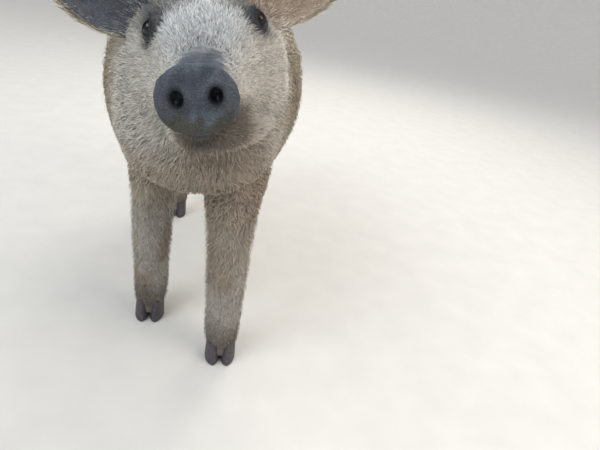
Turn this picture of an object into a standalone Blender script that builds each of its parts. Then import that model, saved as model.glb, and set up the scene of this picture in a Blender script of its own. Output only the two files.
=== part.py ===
"""A young woolly-coated pig standing square on its four feet, head raised and level.

Units are metres. The pig faces -Y, its left side is +X and +Z is up. The body is a set of
lofted forms. Each node is what a few of these forms, joined with the rounded clumps of the
coat, fill of that node's own region, and the regions keep a thin gap between them.
"""

import math
import random

import bmesh
import bpy
import numpy as np
from mathutils import Matrix, Vector

# Driving dimensions
GAP = 0.0003
WITHERS_HEIGHT = 0.445
CHEST_HALF_WIDTH = 0.103
TRUNK_FRONT = -0.062
TRUNK_LENGTH = 0.565
HEAD_LENGTH = 0.250
SNOUT_AT = (0.004, -0.190, 0.392)
HEAD_YAW = math.radians(-3.0)
HEAD_PITCH = math.radians(-3.0)
HEAD_ROLL = math.radians(-13.5)
EYE_RADIUS = 0.0105
EAR_LENGTH = 0.125
EAR_WIDTH = 0.078
EAR_THICKNESS = 0.0036
COAT_DEPTH = 0.023
CORE_SHARE = 0.40
CLUMP_SPACING = 0.0398
CLUMP_SIDES = 5
CLUMP_WIDTH = 1.55
CLUMP_SUNK = 0.006
CLAW_LENGTH = 0.034
CLAW_WIDTH = 0.0205
CLAW_HEIGHT = 0.021
COAT_SEED = 7
ROOT_CANDIDATES = 9000

# Feet on the floor: sideways and along the body, in metres
FORE_LEFT_AT = (0.047, -0.018)
FORE_RIGHT_AT = (-0.060, 0.066)
HIND_LEFT_AT = (0.058, 0.452)
HIND_RIGHT_AT = (-0.058, 0.405)

# Trunk: share of length, share of half width, top and bottom as shares of the withers height
TRUNK = (
    (0.000, 0.38, 0.745, 0.625),
    (0.030, 0.70, 0.850, 0.580),
    (0.080, 0.88, 0.945, 0.562),
    (0.160, 0.97, 0.990, 0.555),
    (0.270, 1.00, 1.000, 0.545),
    (0.420, 0.99, 0.998, 0.525),
    (0.570, 1.03, 1.010, 0.515),
    (0.720, 1.02, 1.018, 0.545),
    (0.850, 0.95, 0.998, 0.610),
    (0.950, 0.74, 0.930, 0.690),
    (1.000, 0.38, 0.850, 0.765),
)

# Neck: place along the body, half width, top and bottom, in metres
NECK = (
    (-0.075, 0.046, 0.438, 0.345),
    (-0.045, 0.066, 0.452, 0.312),
    (-0.010, 0.083, 0.459, 0.285),
    (0.030, 0.094, 0.460, 0.262),
    (0.080, 0.098, 0.452, 0.255),
)

# Skull and upper jaw, from the snout back: share of head length, half width, top, bottom
SKULL = (
    (0.000, 0.0270, 0.0215, -0.0225),
    (0.010, 0.0300, 0.0245, -0.0255),
    (0.030, 0.0300, 0.0245, -0.0255),
    (0.048, 0.0275, 0.0225, -0.0250),
    (0.080, 0.0275, 0.0228, -0.0275),
    (0.140, 0.0310, 0.0245, -0.0310),
    (0.220, 0.0375, 0.0275, -0.0330),
    (0.300, 0.0450, 0.0320, -0.0345),
    (0.380, 0.0525, 0.0425, -0.0380),
    (0.440, 0.0580, 0.0525, -0.0450),
    (0.500, 0.0625, 0.0610, -0.0550),
    (0.580, 0.0670, 0.0685, -0.0650),
    (0.660, 0.0700, 0.0735, -0.0715),
    (0.740, 0.0715, 0.0755, -0.0745),
    (0.820, 0.0710, 0.0750, -0.0740),
    (0.920, 0.0650, 0.0690, -0.0680),
    (1.000, 0.0480, 0.0520, -0.0540),
)

# Lower jaw, in the same terms
JAW = (
    (0.078, 0.0120, -0.0270, -0.0370),
    (0.100, 0.0205, -0.0215, -0.0435),
    (0.140, 0.0252, -0.0185, -0.0480),
    (0.200, 0.0295, -0.0180, -0.0520),
    (0.300, 0.0365, -0.0180, -0.0580),
    (0.400, 0.0440, -0.0150, -0.0640),
    (0.500, 0.0505, -0.0100, -0.0690),
    (0.600, 0.0530, -0.0060, -0.0705),
    (0.700, 0.0480, -0.0060, -0.0690),
)

# Swellings and hollows of the head: share of length, degrees up from the side, height,
# spread along and spread in degrees
HEAD_BUMPS = (
    (0.500, 48, 0.0045, 0.055, 15),
    (0.430, 30, -0.0035, 0.045, 18),
    (0.600, 8, 0.0045, 0.070, 26),
    (0.690, -42, 0.0060, 0.080, 24),
    (0.200, -38, 0.0028, 0.060, 18),
    (0.330, 62, -0.0020, 0.060, 24),
)

# Legs: height, set-back behind the foot, half width and half depth, in metres
FORELEG = (
    (0.310, 0.038, 0.039, 0.052),
    (0.260, 0.032, 0.0375, 0.048),
    (0.215, 0.020, 0.0335, 0.038),
    (0.170, 0.009, 0.0295, 0.0310),
    (0.135, 0.003, 0.0288, 0.0290),
    (0.105, 0.003, 0.0276, 0.0266),
    (0.080, 0.005, 0.0270, 0.0256),
    (0.056, 0.006, 0.0270, 0.0262),
    (0.036, 0.002, 0.0258, 0.0248),
    (0.020, -0.003, 0.0246, 0.0250),
    (0.010, -0.005, 0.0230, 0.0238),
)
HINDLEG = (
    (0.330, -0.020, 0.047, 0.082),
    (0.280, -0.010, 0.045, 0.076),
    (0.235, 0.002, 0.0390, 0.056),
    (0.200, 0.018, 0.0320, 0.0410),
    (0.170, 0.030, 0.0275, 0.0335),
    (0.148, 0.034, 0.0260, 0.0305),
    (0.120, 0.028, 0.0240, 0.0258),
    (0.085, 0.018, 0.0246, 0.0240),
    (0.056, 0.010, 0.0256, 0.0254),
    (0.036, 0.004, 0.0250, 0.0242),
    (0.020, -0.002, 0.0240, 0.0248),
    (0.010, -0.004, 0.0230, 0.0238),
)
FORE_LEFT_HIP_X = 0.043
FORE_RIGHT_HIP_X = 0.060
HIND_HIP_X = 0.056

# Outline of an ear from root to tip: share of length, share of half width
EAR_OUTLINE = (
    (0.00, 0.34),
    (0.12, 0.56),
    (0.28, 0.86),
    (0.46, 1.00),
    (0.64, 0.92),
    (0.82, 0.64),
    (0.94, 0.32),
    (1.00, 0.10),
)
EAR_ROOT = (0.665, math.radians(40))
EAR_SUNK = 0.016
EAR_CUP = 0.62
EAR_DROOP = 0.020
EAR_LIFT = {"left": math.radians(57), "right": math.radians(35)}
EAR_SWEEP = math.radians(3)

# Eye place on the skull, how deep its centre lies, and the opening between the lids
EYE_PLACE = (0.505, math.radians(43))
EYE_SUNK = 0.0078
LID_THICKNESS = 0.0020
LID_OPENING = (0.0098, 0.0058, 0.0080)
LID_TILT = math.radians(38)

NOSTRIL_AT = (0.0140, 0.0014)
NOSTRIL_SIZE = (0.0047, 0.0150, 0.0062)
SNOUT_PLATE_SHARE = 0.036

# Middle line of the tail, root to tip: share, x, y, z and radius
TAIL = (
    (0.00, 0.000, 0.462, 0.398, 0.0120),
    (0.20, 0.002, 0.508, 0.404, 0.0105),
    (0.38, 0.010, 0.538, 0.382, 0.0085),
    (0.55, 0.019, 0.548, 0.345, 0.0072),
    (0.72, 0.016, 0.544, 0.310, 0.0062),
    (0.86, 0.002, 0.542, 0.284, 0.0054),
    (1.00, -0.012, 0.550, 0.262, 0.0042),
)
TAIL_ROOT = (0.0, 0.505, 0.404)
TAIL_CLEARING = 0.026
TAIL_CLEARANCE = 0.003
TASSEL_LOCKS = 5
TASSEL_LENGTH = 0.050

# A claw from the floor up: height, share of its length and width, and shift to the back
CLAW_RINGS = ((0.0, 0.95, 0.0), (0.003, 1.0, 0.0), (0.034, 0.82, 0.006))

# Where the nodes part: a point of each plane and its normal
HEAD_END = ((0.0, -0.016, 0.389), (0.0, 0.908, -0.420))
NECK_END = ((0.0, 0.015, 0.3775), (0.0, 0.742, -0.670))
SHOULDERS_END = ((0.0, 0.155, 0.3), (0.0, 1.0, 0.0))
BARREL_END = ((0.0, 0.325, 0.3), (0.0, 1.0, 0.0))
FORE_TOP = ((0.0, 0.010, 0.227), (0.0, 0.0, 1.0))
HIND_TOP = ((0.0, 0.360, 0.220), (0.0, -0.218, 0.976))
FORE_FROM, FORE_TO = -0.13, 0.155
HIND_FROM, HIND_TO = 0.325, 0.60
BETWEEN_LEGS = 0.006

# Round each form: sides of its sections, and how far apart they stand as a share of its length
MESHING = {
    "trunk": (22, 0.090),
    "neck": (22, 0.30),
    "skull": (24, 0.065),
    "jaw": (12, 0.20),
    "foreleg_left": (12, 0.20),
    "foreleg_right": (12, 0.20),
    "hindleg_left": (12, 0.20),
    "hindleg_right": (12, 0.20),
}

PALETTE = {
    "coat": ((0.46, 0.41, 0.33), 0.9),
    "face": ((0.55, 0.53, 0.48), 0.85),
    "ear": ((0.20, 0.20, 0.20), 0.8),
    "snout": ((0.07, 0.08, 0.095), 0.55),
    "eye": ((0.012, 0.010, 0.010), 0.15),
    "claw": ((0.045, 0.038, 0.042), 0.5),
}


def clear_scene():
    for obj in list(bpy.data.objects):
        bpy.data.objects.remove(obj)


def new_collection(name):
    collection = bpy.data.collections.new(name)
    bpy.context.scene.collection.children.link(collection)
    return collection


def make_materials():
    made = {}
    for name, (colour, roughness) in PALETTE.items():
        material = bpy.data.materials.new(name)
        material.use_nodes = True
        shader = material.node_tree.nodes["Principled BSDF"]
        shader.inputs["Base Color"].default_value = (*colour, 1.0)
        shader.inputs["Roughness"].default_value = roughness
        made[name] = material
    return made


def through(rows, at):
    """Smooth values at the places in at, on a curve that passes through every row."""
    rows = np.array(rows, float)
    key, values = rows[:, 0], rows[:, 1:]
    slope = np.gradient(values, key, axis=0)
    at = np.clip(np.atleast_1d(at), key[0], key[-1])
    i = np.clip(np.searchsorted(key, at, side="right") - 1, 0, len(key) - 2)
    span = (key[i + 1] - key[i])[:, None]
    t = ((at - key[i]) / (key[i + 1] - key[i]))[:, None]
    return (
        values[i] * (2 * t**3 - 3 * t**2 + 1)
        + slope[i] * span * (t**3 - 2 * t**2 + t)
        + values[i + 1] * (3 * t**2 - 2 * t**3)
        + slope[i + 1] * span * (t**3 - t**2)
    )


class Form:
    """A loft of rounded sections along its own +Y axis, put in place by a matrix.

    Its rows give the place along the axis, the half width, the top and the bottom.
    """

    def __init__(self, rows, matrix=None, roundness=2.2, middle=0.5, bumps=()):
        self.rows = rows
        self.matrix = matrix or Matrix.Identity(4)
        self.roundness = roundness
        self.middle = middle
        self.bumps = bumps
        self.start = rows[0][0]
        self.end = rows[-1][0]

    def local(self, along, angle, grow=0.0):
        """Points of the surface in the form's own axes, grown outwards by a number or function."""
        along = np.atleast_1d(np.asarray(along, float))
        angle = np.broadcast_to(np.asarray(angle, float), along.shape)
        half_width, top, bottom = through(self.rows, along).T
        centre = bottom + (top - bottom) * self.middle
        if callable(grow):
            grow = grow(self.points(along, angle))
        power = 2.0 / self.roundness
        side = np.sign(np.cos(angle)) * np.abs(np.cos(angle)) ** power
        rise = np.sign(np.sin(angle)) * np.abs(np.sin(angle)) ** power
        height = np.where(rise > 0, top - centre, centre - bottom) + grow
        swell = np.zeros_like(along)
        lift = np.degrees(np.arctan2(np.sin(angle), np.abs(np.cos(angle))))
        for place, degrees, amount, spread, spread_degrees in self.bumps:
            swell += amount * np.exp(
                -(((along - place) / spread) ** 2)
                - ((lift - degrees) / spread_degrees) ** 2
            )
        x = side * (half_width + grow + swell)
        z = centre + rise * (height + swell)
        return np.stack([x, along, z], axis=1)

    def points(self, along, angle, grow=0.0):
        local = self.local(along, angle, grow)
        place = np.array(self.matrix)
        return local @ place[:3, :3].T + place[:3, 3]

    def rings(self, stations, sides, grow=0.0):
        angles = np.arange(sides) * 2 * math.pi / sides
        return np.array([self.points(np.full(sides, s), angles, grow) for s in stations])


def mesh_object(name, points, faces, collection, material=None):
    mesh = bpy.data.meshes.new(name)
    mesh.from_pydata([tuple(p) for p in points], [], faces)
    bm = bmesh.new()
    bm.from_mesh(mesh)
    bmesh.ops.recalc_face_normals(bm, faces=bm.faces)
    bm.to_mesh(mesh)
    bm.free()
    obj = bpy.data.objects.new(name, mesh)
    collection.objects.link(obj)
    if material:
        mesh.materials.append(material)
    return obj


def loft(name, rings, collection, material=None):
    """A closed skin over the rings, drawn to a point in the middle of each end."""
    count, sides = rings.shape[:2]
    points = np.vstack([rings.reshape(-1, 3), rings[0].mean(0), rings[-1].mean(0)])
    first, last = count * sides, count * sides + 1
    faces = []
    for i in range(sides):
        j = (i + 1) % sides
        faces.append((first, j, i))
        faces.append((last, (count - 1) * sides + i, (count - 1) * sides + j))
        for ring in range(count - 1):
            low, high = ring * sides, (ring + 1) * sides
            faces.append((low + i, low + j, high + j, high + i))
    return mesh_object(name, points, faces, collection, material)


def form_object(name, form, collection, grow=0.0):
    """A form as a closed mesh, with a section at every row and between rows far apart."""
    sides, widest = MESHING[name]
    keys = [row[0] for row in form.rows]
    stations = [keys[0]]
    for low, high in zip(keys, keys[1:]):
        steps = max(1, math.ceil((high - low) / (widest * (form.end - form.start)) - 1e-6))
        stations += [low + (high - low) * (k + 1) / steps for k in range(steps)]
    return loft(name, form.rings(stations, sides, grow), collection)


def ball(name, radius, matrix, collection, segments=16, rings=10):
    bm = bmesh.new()
    bmesh.ops.create_uvsphere(bm, u_segments=segments, v_segments=rings, radius=radius)
    bm.transform(matrix)
    mesh = bpy.data.meshes.new(name)
    bm.to_mesh(mesh)
    bm.free()
    obj = bpy.data.objects.new(name, mesh)
    collection.objects.link(obj)
    return obj


def region(name, planes, collection, margin):
    """A great block, kept on the inner side of each (point, outward normal) plane."""
    bm = bmesh.new()
    bmesh.ops.create_cube(bm, size=3.0)
    for point, normal in planes:
        outward = Vector(normal).normalized()
        cut = bmesh.ops.bisect_plane(
            bm,
            geom=bm.verts[:] + bm.edges[:] + bm.faces[:],
            plane_co=Vector(point) - outward * margin,
            plane_no=outward,
            clear_outer=True,
        )
        edges = [e for e in cut["geom_cut"] if isinstance(e, bmesh.types.BMEdge)]
        bmesh.ops.holes_fill(bm, edges=edges)
    bmesh.ops.recalc_face_normals(bm, faces=bm.faces)
    mesh = bpy.data.meshes.new(name)
    bm.to_mesh(mesh)
    bm.free()
    obj = bpy.data.objects.new(name, mesh)
    collection.objects.link(obj)
    return obj


def evaluated_mesh(obj):
    graph = bpy.context.evaluated_depsgraph_get()
    return bpy.data.meshes.new_from_object(obj.evaluated_get(graph))


def combine(obj, operation, other):
    """Applies a Boolean of obj with one object, or with a collection of them."""
    modifier = obj.modifiers.new("combine", "BOOLEAN")
    modifier.operation = operation
    modifier.solver = "MANIFOLD"
    if isinstance(other, bpy.types.Collection):
        modifier.operand_type = "COLLECTION"
        modifier.collection = other
    else:
        modifier.object = other
    made = evaluated_mesh(obj)
    obj.modifiers.clear()
    obj.data = made


def keep_largest(obj):
    """Leaves only the closed surface with the greatest volume."""
    bm = bmesh.new()
    bm.from_mesh(obj.data)
    bmesh.ops.triangulate(bm, faces=bm.faces)
    left = set(bm.faces)
    best, best_volume = set(), -1.0
    while left:
        shell, open_faces = set(), [left.pop()]
        while open_faces:
            face = open_faces.pop()
            shell.add(face)
            for near in {f for e in face.edges for f in e.link_faces} & left:
                left.discard(near)
                open_faces.append(near)
        volume = sum(f.verts[0].co.dot(f.verts[1].co.cross(f.verts[2].co)) for f in shell)
        if volume > best_volume:
            best, best_volume = shell, volume
    drop = [f for f in bm.faces if f not in best]
    bmesh.ops.delete(bm, geom=drop, context="FACES")
    bm.to_mesh(obj.data)
    bm.free()


def finish(obj, name, material):
    obj.name = name
    obj.data.name = name
    obj.data.materials.clear()
    obj.data.materials.append(material)
    obj.data.shade_smooth()
    obj.data.set_sharp_from_angle(angle=math.radians(50))


def discard(collection):
    for obj in list(collection.objects):
        bpy.data.objects.remove(obj)
    bpy.data.collections.remove(collection)


def make_node(name, pieces, body, material, inside=(), away=()):
    """Joins the closed pieces, keeps what lies inside and cuts the rest away.

    pieces, inside and away are functions that make an object in a collection.
    """
    scratch = new_collection("pieces_of_" + name)
    base = pieces[0](body)
    for make in pieces[1:]:
        make(scratch)
    if scratch.objects:
        combine(base, "UNION", scratch)
    discard(scratch)
    for operation, makers in (("INTERSECT", inside), ("DIFFERENCE", away)):
        for make in makers:
            tools = new_collection("tools_of_" + name)
            combine(base, operation, make(tools))
            discard(tools)
    keep_largest(base)
    finish(base, name, material)
    return base


def head_turn():
    turn = Matrix.Rotation(HEAD_YAW, 4, "Z") @ Matrix.Rotation(HEAD_PITCH, 4, "X")
    return turn @ Matrix.Rotation(HEAD_ROLL, 4, "Y")


def head_matrix():
    scale = Matrix.Diagonal((1.0, HEAD_LENGTH, 1.0, 1.0))
    return Matrix.Translation(SNOUT_AT) @ head_turn() @ scale


def leg_form(rows, foot, hip_x):
    """A leg whose own +Y axis is the height, and whose top side is the front."""
    foot_x, foot_y = foot
    side = math.copysign(1.0, foot_x)
    low_first = [
        (height, half_width, half_depth - set_back, -half_depth - set_back)
        for height, set_back, half_width, half_depth in reversed(rows)
    ]
    lean = (side * hip_x - foot_x) / low_first[-1][0]
    upright = Matrix(
        ((1, lean, 0, foot_x), (0, 0, -1, foot_y), (0, 1, 0, 0), (0, 0, 0, 1))
    )
    return Form(low_first, upright, roundness=2.1)


def make_forms():
    trunk_rows = [
        (
            TRUNK_FRONT + share * TRUNK_LENGTH,
            width * CHEST_HALF_WIDTH,
            top * WITHERS_HEIGHT,
            bottom * WITHERS_HEIGHT,
        )
        for share, width, top, bottom in TRUNK
    ]
    return {
        "trunk": Form(trunk_rows, roundness=2.3, middle=0.54),
        "neck": Form(NECK, roundness=2.2, middle=0.51),
        "skull": Form(SKULL, head_matrix(), roundness=2.25, bumps=HEAD_BUMPS),
        "jaw": Form(JAW, head_matrix(), roundness=2.3, middle=0.45),
        "foreleg_left": leg_form(FORELEG, FORE_LEFT_AT, FORE_LEFT_HIP_X),
        "foreleg_right": leg_form(FORELEG, FORE_RIGHT_AT, FORE_RIGHT_HIP_X),
        "hindleg_left": leg_form(HINDLEG, HIND_LEFT_AT, HIND_HIP_X),
        "hindleg_right": leg_form(HINDLEG, HIND_RIGHT_AT, HIND_HIP_X),
    }


def surface_frame(form, along, angle, grow):
    """A point of a form's surface with its outward normal and its two tangents."""
    step = (form.end - form.start) * 1e-3
    here = Vector(form.points(along, angle, grow)[0])
    ahead = Vector(form.points(along + step, angle, grow)[0])
    round_it = Vector(form.points(along, angle + 1e-3, grow)[0])
    middle = Vector(form.rings([along], 12)[0].mean(0))
    lengthwise = (ahead - here).normalized()
    around = (round_it - here).normalized()
    normal = lengthwise.cross(around).normalized()
    if normal.dot(here - middle) < 0:
        normal = -normal
    return here, normal, lengthwise, around


def clump_shape(root, normal, lie, width, height, length, curl):
    """A rounded tuft: it stands on a sunk foot, swells, and leans back to a bent tip."""
    across = normal.cross(lie).normalized()
    lie = across.cross(normal).normalized()
    rings = (
        (normal * -CLUMP_SUNK, 0.55, lie),
        (normal * 0.72 * height + lie * 0.14 * length, 0.33, (lie - normal * 0.22).normalized()),
    )
    points = []
    for middle, share, forward in rings:
        for i in range(CLUMP_SIDES):
            turn = 2 * math.pi * (i + 0.5) / CLUMP_SIDES
            rim = forward * math.cos(turn) + across * math.sin(turn)
            points.append(root + middle + rim * share * width)
    points.append(root + normal * -CLUMP_SUNK)
    points.append(root + normal * height + lie * 0.40 * length + across * curl)
    return points


def clump_faces():
    faces = []
    bottom, tip = 2 * CLUMP_SIDES, 2 * CLUMP_SIDES + 1
    for i in range(CLUMP_SIDES):
        j = (i + 1) % CLUMP_SIDES
        faces.append((bottom, j, i))
        faces.append((i, j, CLUMP_SIDES + j, CLUMP_SIDES + i))
        faces.append((CLUMP_SIDES + i, CLUMP_SIDES + j, tip))
    return faces


def rise(value, low, high):
    """Smooth step from 0 at low to 1 at high."""
    t = np.clip((np.asarray(value, float) - low) / (high - low), 0.0, 1.0)
    return t * t * (3 - 2 * t)


def behind_head(points):
    at, normal = HEAD_END
    return (np.atleast_2d(points) - at) @ (np.array(normal) / np.linalg.norm(normal))


def coat_depth(points):
    """How far the tips of the coat stand over the skin of the trunk and the neck."""
    points = np.atleast_2d(points)
    grown = 0.12 + 0.88 * rise(behind_head(points), 0.0, 0.11)
    crest = 0.20 * rise(points[:, 2], 0.40, 0.46)
    belly = 0.25 * rise(-points[:, 2], -0.27, -0.23)
    return COAT_DEPTH * grown * (1 + crest - belly)


def leg_coat_depth(points):
    """The same on the upper part of a leg, down to nothing where the leg's own node starts."""
    points = np.atleast_2d(points)
    return 0.7 * coat_depth(points) * rise(points[:, 2], 0.228, 0.290)


def core_growth(points):
    return CORE_SHARE * coat_depth(points)


def tail_root_growth(points):
    """The trunk's core with the gap that parts it from the tail."""
    return core_growth(points) + GAP


def leg_core_growth(points):
    return CORE_SHARE * leg_coat_depth(points)


def coated_core(forms, collection):
    """The whole body under its coat, on which the clumps are rooted."""
    core = form_object("trunk", forms["trunk"], collection, core_growth)
    rest = new_collection("rest_of_core")
    for name in MESHING:
        if "leg" in name:
            form_object(name, forms[name], rest, leg_core_growth)
    form_object("neck", forms["neck"], rest, core_growth)
    combine(core, "UNION", rest)
    discard(rest)
    return core


def coat_roots(core, boxes):
    """Roots spread evenly on the core: each new one is the place farthest from the others."""
    mesh = core.data
    mesh.calc_loop_triangles()
    place = np.array([v.co for v in mesh.vertices])
    normal = np.array([v.normal for v in mesh.vertices])
    corners = np.array([t.vertices for t in mesh.loop_triangles])
    a, b, c = place[corners].transpose(1, 0, 2)
    area = np.linalg.norm(np.cross(b - a, c - a), axis=1)
    chance = np.random.default_rng(COAT_SEED)
    picked = chance.choice(len(area), ROOT_CANDIDATES, p=area / area.sum())
    u, v = chance.random((2, ROOT_CANDIDATES, 1))
    u, v = np.where(u + v > 1, 1 - u, u), np.where(u + v > 1, 1 - v, v)
    share = np.stack([1 - u - v, u, v], axis=1)
    points = (place[corners[picked]] * share).sum(1)
    normals = (normal[corners[picked]] * share).sum(1)
    keep = behind_head(points) > 0.010
    for box in boxes:
        inside = np.ones(len(points), bool)
        for at, outward in box:
            outward = np.array(outward) / np.linalg.norm(outward)
            inside &= (points - at) @ outward < 0.006
        keep &= ~inside
    keep &= np.linalg.norm(points - TAIL_ROOT, axis=1) > TAIL_CLEARING
    points, normals = points[keep], normals[keep]
    spacing = CLUMP_SPACING * (0.72 + 0.28 * rise(behind_head(points), 0.0, 0.12))
    chosen = [int(points[:, 2].argmax())]
    distance = np.linalg.norm(points - points[chosen[0]], axis=1) / spacing
    while distance.max() > 1.0:
        chosen.append(int(distance.argmax()))
        near = np.linalg.norm(points - points[chosen[-1]], axis=1) / spacing
        distance = np.minimum(distance, near)
    return points[chosen], normals[chosen] / np.linalg.norm(normals[chosen], axis=1)[:, None]


def make_coat(core, boxes, keep_clear):
    """Every clump of the coat as (root, points)."""
    chance = random.Random(COAT_SEED)
    clumps = []
    for place, outward in zip(*coat_roots(core, boxes)):
        root, normal = Vector(place), Vector(outward)
        spacing = CLUMP_SPACING * (0.72 + 0.28 * float(rise(behind_head(place), 0.0, 0.12)[0]))
        depth = float(coat_depth(place)[0]) * (1 - CORE_SHARE)
        lie = Vector((0.0, 1.0, -0.10 - 0.9 * abs(normal.x)))
        lie = (lie - normal * lie.dot(normal)).normalized()
        lie = Matrix.Rotation(chance.uniform(-0.55, 0.55), 3, normal) @ lie
        curl = chance.choice((-1, 1)) * chance.uniform(0.12, 0.26) * spacing
        points = clump_shape(
            root,
            normal,
            lie,
            spacing * CLUMP_WIDTH * chance.uniform(0.93, 1.07),
            depth * chance.uniform(0.92, 1.08),
            spacing * chance.uniform(0.85, 1.05),
            curl,
        )
        if clear_of(points, keep_clear):
            clumps.append((root, points))
    return clumps


def clear_of(points, line):
    """True where the points, and the points halfway between them, stay off a thick line."""
    points = np.array(points)
    points = ((points[:, None] + points[None]) / 2).reshape(-1, 3)
    gap = np.linalg.norm(points[:, None] - line[None, :, :3], axis=2) - line[None, :, 3]
    return gap.min() > 0


def signed_distance(plane, point):
    at, normal = plane
    return (Vector(point) - Vector(at)).dot(Vector(normal).normalized())


def inside_planes(planes, point, margin):
    return all(signed_distance(plane, point) < margin for plane in planes)


def flip(plane):
    at, normal = plane
    return at, tuple(-v for v in normal)


def leg_box(side, top, from_y, to_y):
    """The planes round the space that a leg has below the body."""
    sign = 1.0 if side == "left" else -1.0
    return [
        top,
        ((sign * BETWEEN_LEGS, 0, 0), (-sign, 0, 0)),
        ((0, from_y, 0), (0, -1, 0)),
        ((0, to_y, 0), (0, 1, 0)),
    ]


def coronet(foot):
    """The slanting plane over the claws, its normal down."""
    x, y = foot
    return (x, y, CLAW_HEIGHT - 0.002), (0.0, -0.196, -0.98)


def ear_object(name, side, skull, collection):
    """A leaf-shaped, cupped ear, its hollow side to the front."""
    sign = 1.0 if side == "left" else -1.0
    along, angle = EAR_ROOT
    angle = angle if side == "left" else math.pi - angle
    root, normal, _, _ = surface_frame(skull, along, angle, 0.0)
    lift = EAR_LIFT[side]
    axis = Vector(
        (
            sign * math.cos(lift) * math.cos(EAR_SWEEP),
            -math.cos(lift) * math.sin(EAR_SWEEP),
            math.sin(lift),
        )
    )
    hollow = Vector((0.0, -1.0, -0.30))
    hollow = (hollow - axis * hollow.dot(axis)).normalized()
    across = axis.cross(hollow).normalized()
    start = root - axis * EAR_SUNK
    lengths, widths = 9, 7
    bm = bmesh.new()
    grid = []
    for i in range(lengths):
        share = i / (lengths - 1)
        half = 0.5 * EAR_WIDTH * float(through(EAR_OUTLINE, share)[0, 0])
        cup = EAR_CUP * (1 - 0.62 * share)
        spine = start + axis * share * (EAR_LENGTH + EAR_SUNK)
        spine = spine + hollow * EAR_DROOP * share**2
        row = []
        for j in range(widths):
            t = 2 * j / (widths - 1) - 1
            curl = hollow * (cup * half * (t * t - 0.5))
            row.append(bm.verts.new(spine + across * t * half + curl))
        grid.append(row)
    for low, high in zip(grid, grid[1:]):
        for j in range(widths - 1):
            bm.faces.new((low[j], low[j + 1], high[j + 1]))
            bm.faces.new((low[j], high[j + 1], high[j]))
    mesh = bpy.data.meshes.new(name)
    bm.to_mesh(mesh)
    bm.free()
    obj = bpy.data.objects.new(name, mesh)
    collection.objects.link(obj)
    wall = obj.modifiers.new("wall", "SOLIDIFY")
    wall.thickness = EAR_THICKNESS
    wall.offset = 0.0
    made = evaluated_mesh(obj)
    obj.modifiers.clear()
    obj.data = made
    bm = bmesh.new()
    bm.from_mesh(obj.data)
    bmesh.ops.triangulate(bm, faces=bm.faces)
    bmesh.ops.recalc_face_normals(bm, faces=bm.faces)
    bm.to_mesh(obj.data)
    bm.free()
    return obj


def eye_frame(skull, side):
    """A matrix at the eye's centre: +Z looks out, +X runs from corner to corner."""
    along, angle = EYE_PLACE
    angle = angle if side == "left" else math.pi - angle
    surface, normal, lengthwise, _ = surface_frame(skull, along, angle, 0.0)
    out = (normal + Vector((0.0, -0.25, 0.0))).normalized()
    corner = (-lengthwise - out * -lengthwise.dot(out)).normalized()
    sign = 1.0 if side == "left" else -1.0
    corner = Matrix.Rotation(sign * LID_TILT, 3, out) @ corner
    up = out.cross(corner)
    turn = Matrix((corner, up, out)).transposed().to_4x4()
    return Matrix.Translation(surface - normal * EYE_SUNK) @ turn


def nostril_matrix(skull, sign):
    x, z = NOSTRIL_AT
    place = skull.matrix @ Vector((sign * x, 0.0, z))
    flare = Matrix.Rotation(sign * math.radians(14), 4, "Y")
    return Matrix.Translation(place) @ head_turn() @ flare @ Matrix.Diagonal((*NOSTRIL_SIZE, 1.0))


def tube(name, line, radii, sides, collection):
    """A tapered tube along a line of points, by rings square to the line."""
    line = np.array(line)
    forward = np.gradient(line, axis=0)
    forward /= np.linalg.norm(forward, axis=1, keepdims=True)
    across = np.cross(forward, (1.0, 0.15, 0.05))
    across /= np.linalg.norm(across, axis=1, keepdims=True)
    third = np.cross(forward, across)
    turns = np.arange(sides) * 2 * math.pi / sides
    rings = (
        line[:, None, :]
        + np.cos(turns)[None, :, None] * across[:, None, :] * np.array(radii)[:, None, None]
        + np.sin(turns)[None, :, None] * third[:, None, :] * np.array(radii)[:, None, None]
    )
    return loft(name, rings, collection)


def tail_object(collection, grow=0.0):
    rows = through(TAIL, np.linspace(0, 1, 12))
    return tube("tail_core", rows[:, :3], rows[:, 3] + grow, 7, collection)


def tassel_lock(index, collection):
    """One bent lock of the tassel, set round the tail's tip."""
    turn = 2 * math.pi * index / TASSEL_LOCKS
    start = through(TAIL, 0.80 + 0.03 * (index % 3))[0, :3]
    tip = through(TAIL, 1.0)[0, :3]
    run = (tip - start) / np.linalg.norm(tip - start)
    side = np.array((math.cos(turn), math.sin(turn), 0.0))
    share = np.linspace(0, 1, 5)[:, None]
    line = (
        start
        + (run * 0.35 + np.array((0, 0, -0.9))) * share * TASSEL_LENGTH
        + side * 0.011 * np.sin(share * 2.6)
        + run * 0.018 * share * (1 - share)
    )
    radii = 0.0052 * (1 - 0.80 * share[:, 0] ** 1.6)
    return tube(f"lock_{index}", line, radii, 4, collection)


def claw_object(name, foot, sign, collection):
    """One of a foot's two main claws: pointed in front, rounded behind, flat below."""
    x, y = foot
    toe = Matrix.Rotation(-sign * math.radians(5), 3, "Z")
    sides = 10
    rings = []
    for height, share, shift in CLAW_RINGS:
        ring = []
        for i in range(sides):
            turn = 2 * math.pi * i / sides
            reach = 0.60 if math.sin(turn) < 0 else 0.40
            power = 1.25 if math.sin(turn) < 0 else 0.85
            flat = np.sign(math.cos(turn)) * abs(math.cos(turn)) ** power
            local = Vector((flat * 0.5 * CLAW_WIDTH, math.sin(turn) * reach * CLAW_LENGTH, 0.0)) * share
            local.y += shift - 0.005
            local = toe @ local
            middle = sign * (0.5 * CLAW_WIDTH + 0.0008)
            ring.append((x + middle + local.x, y + local.y, height))
        rings.append(ring)
    return loft(name, np.array(rings), collection)


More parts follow.
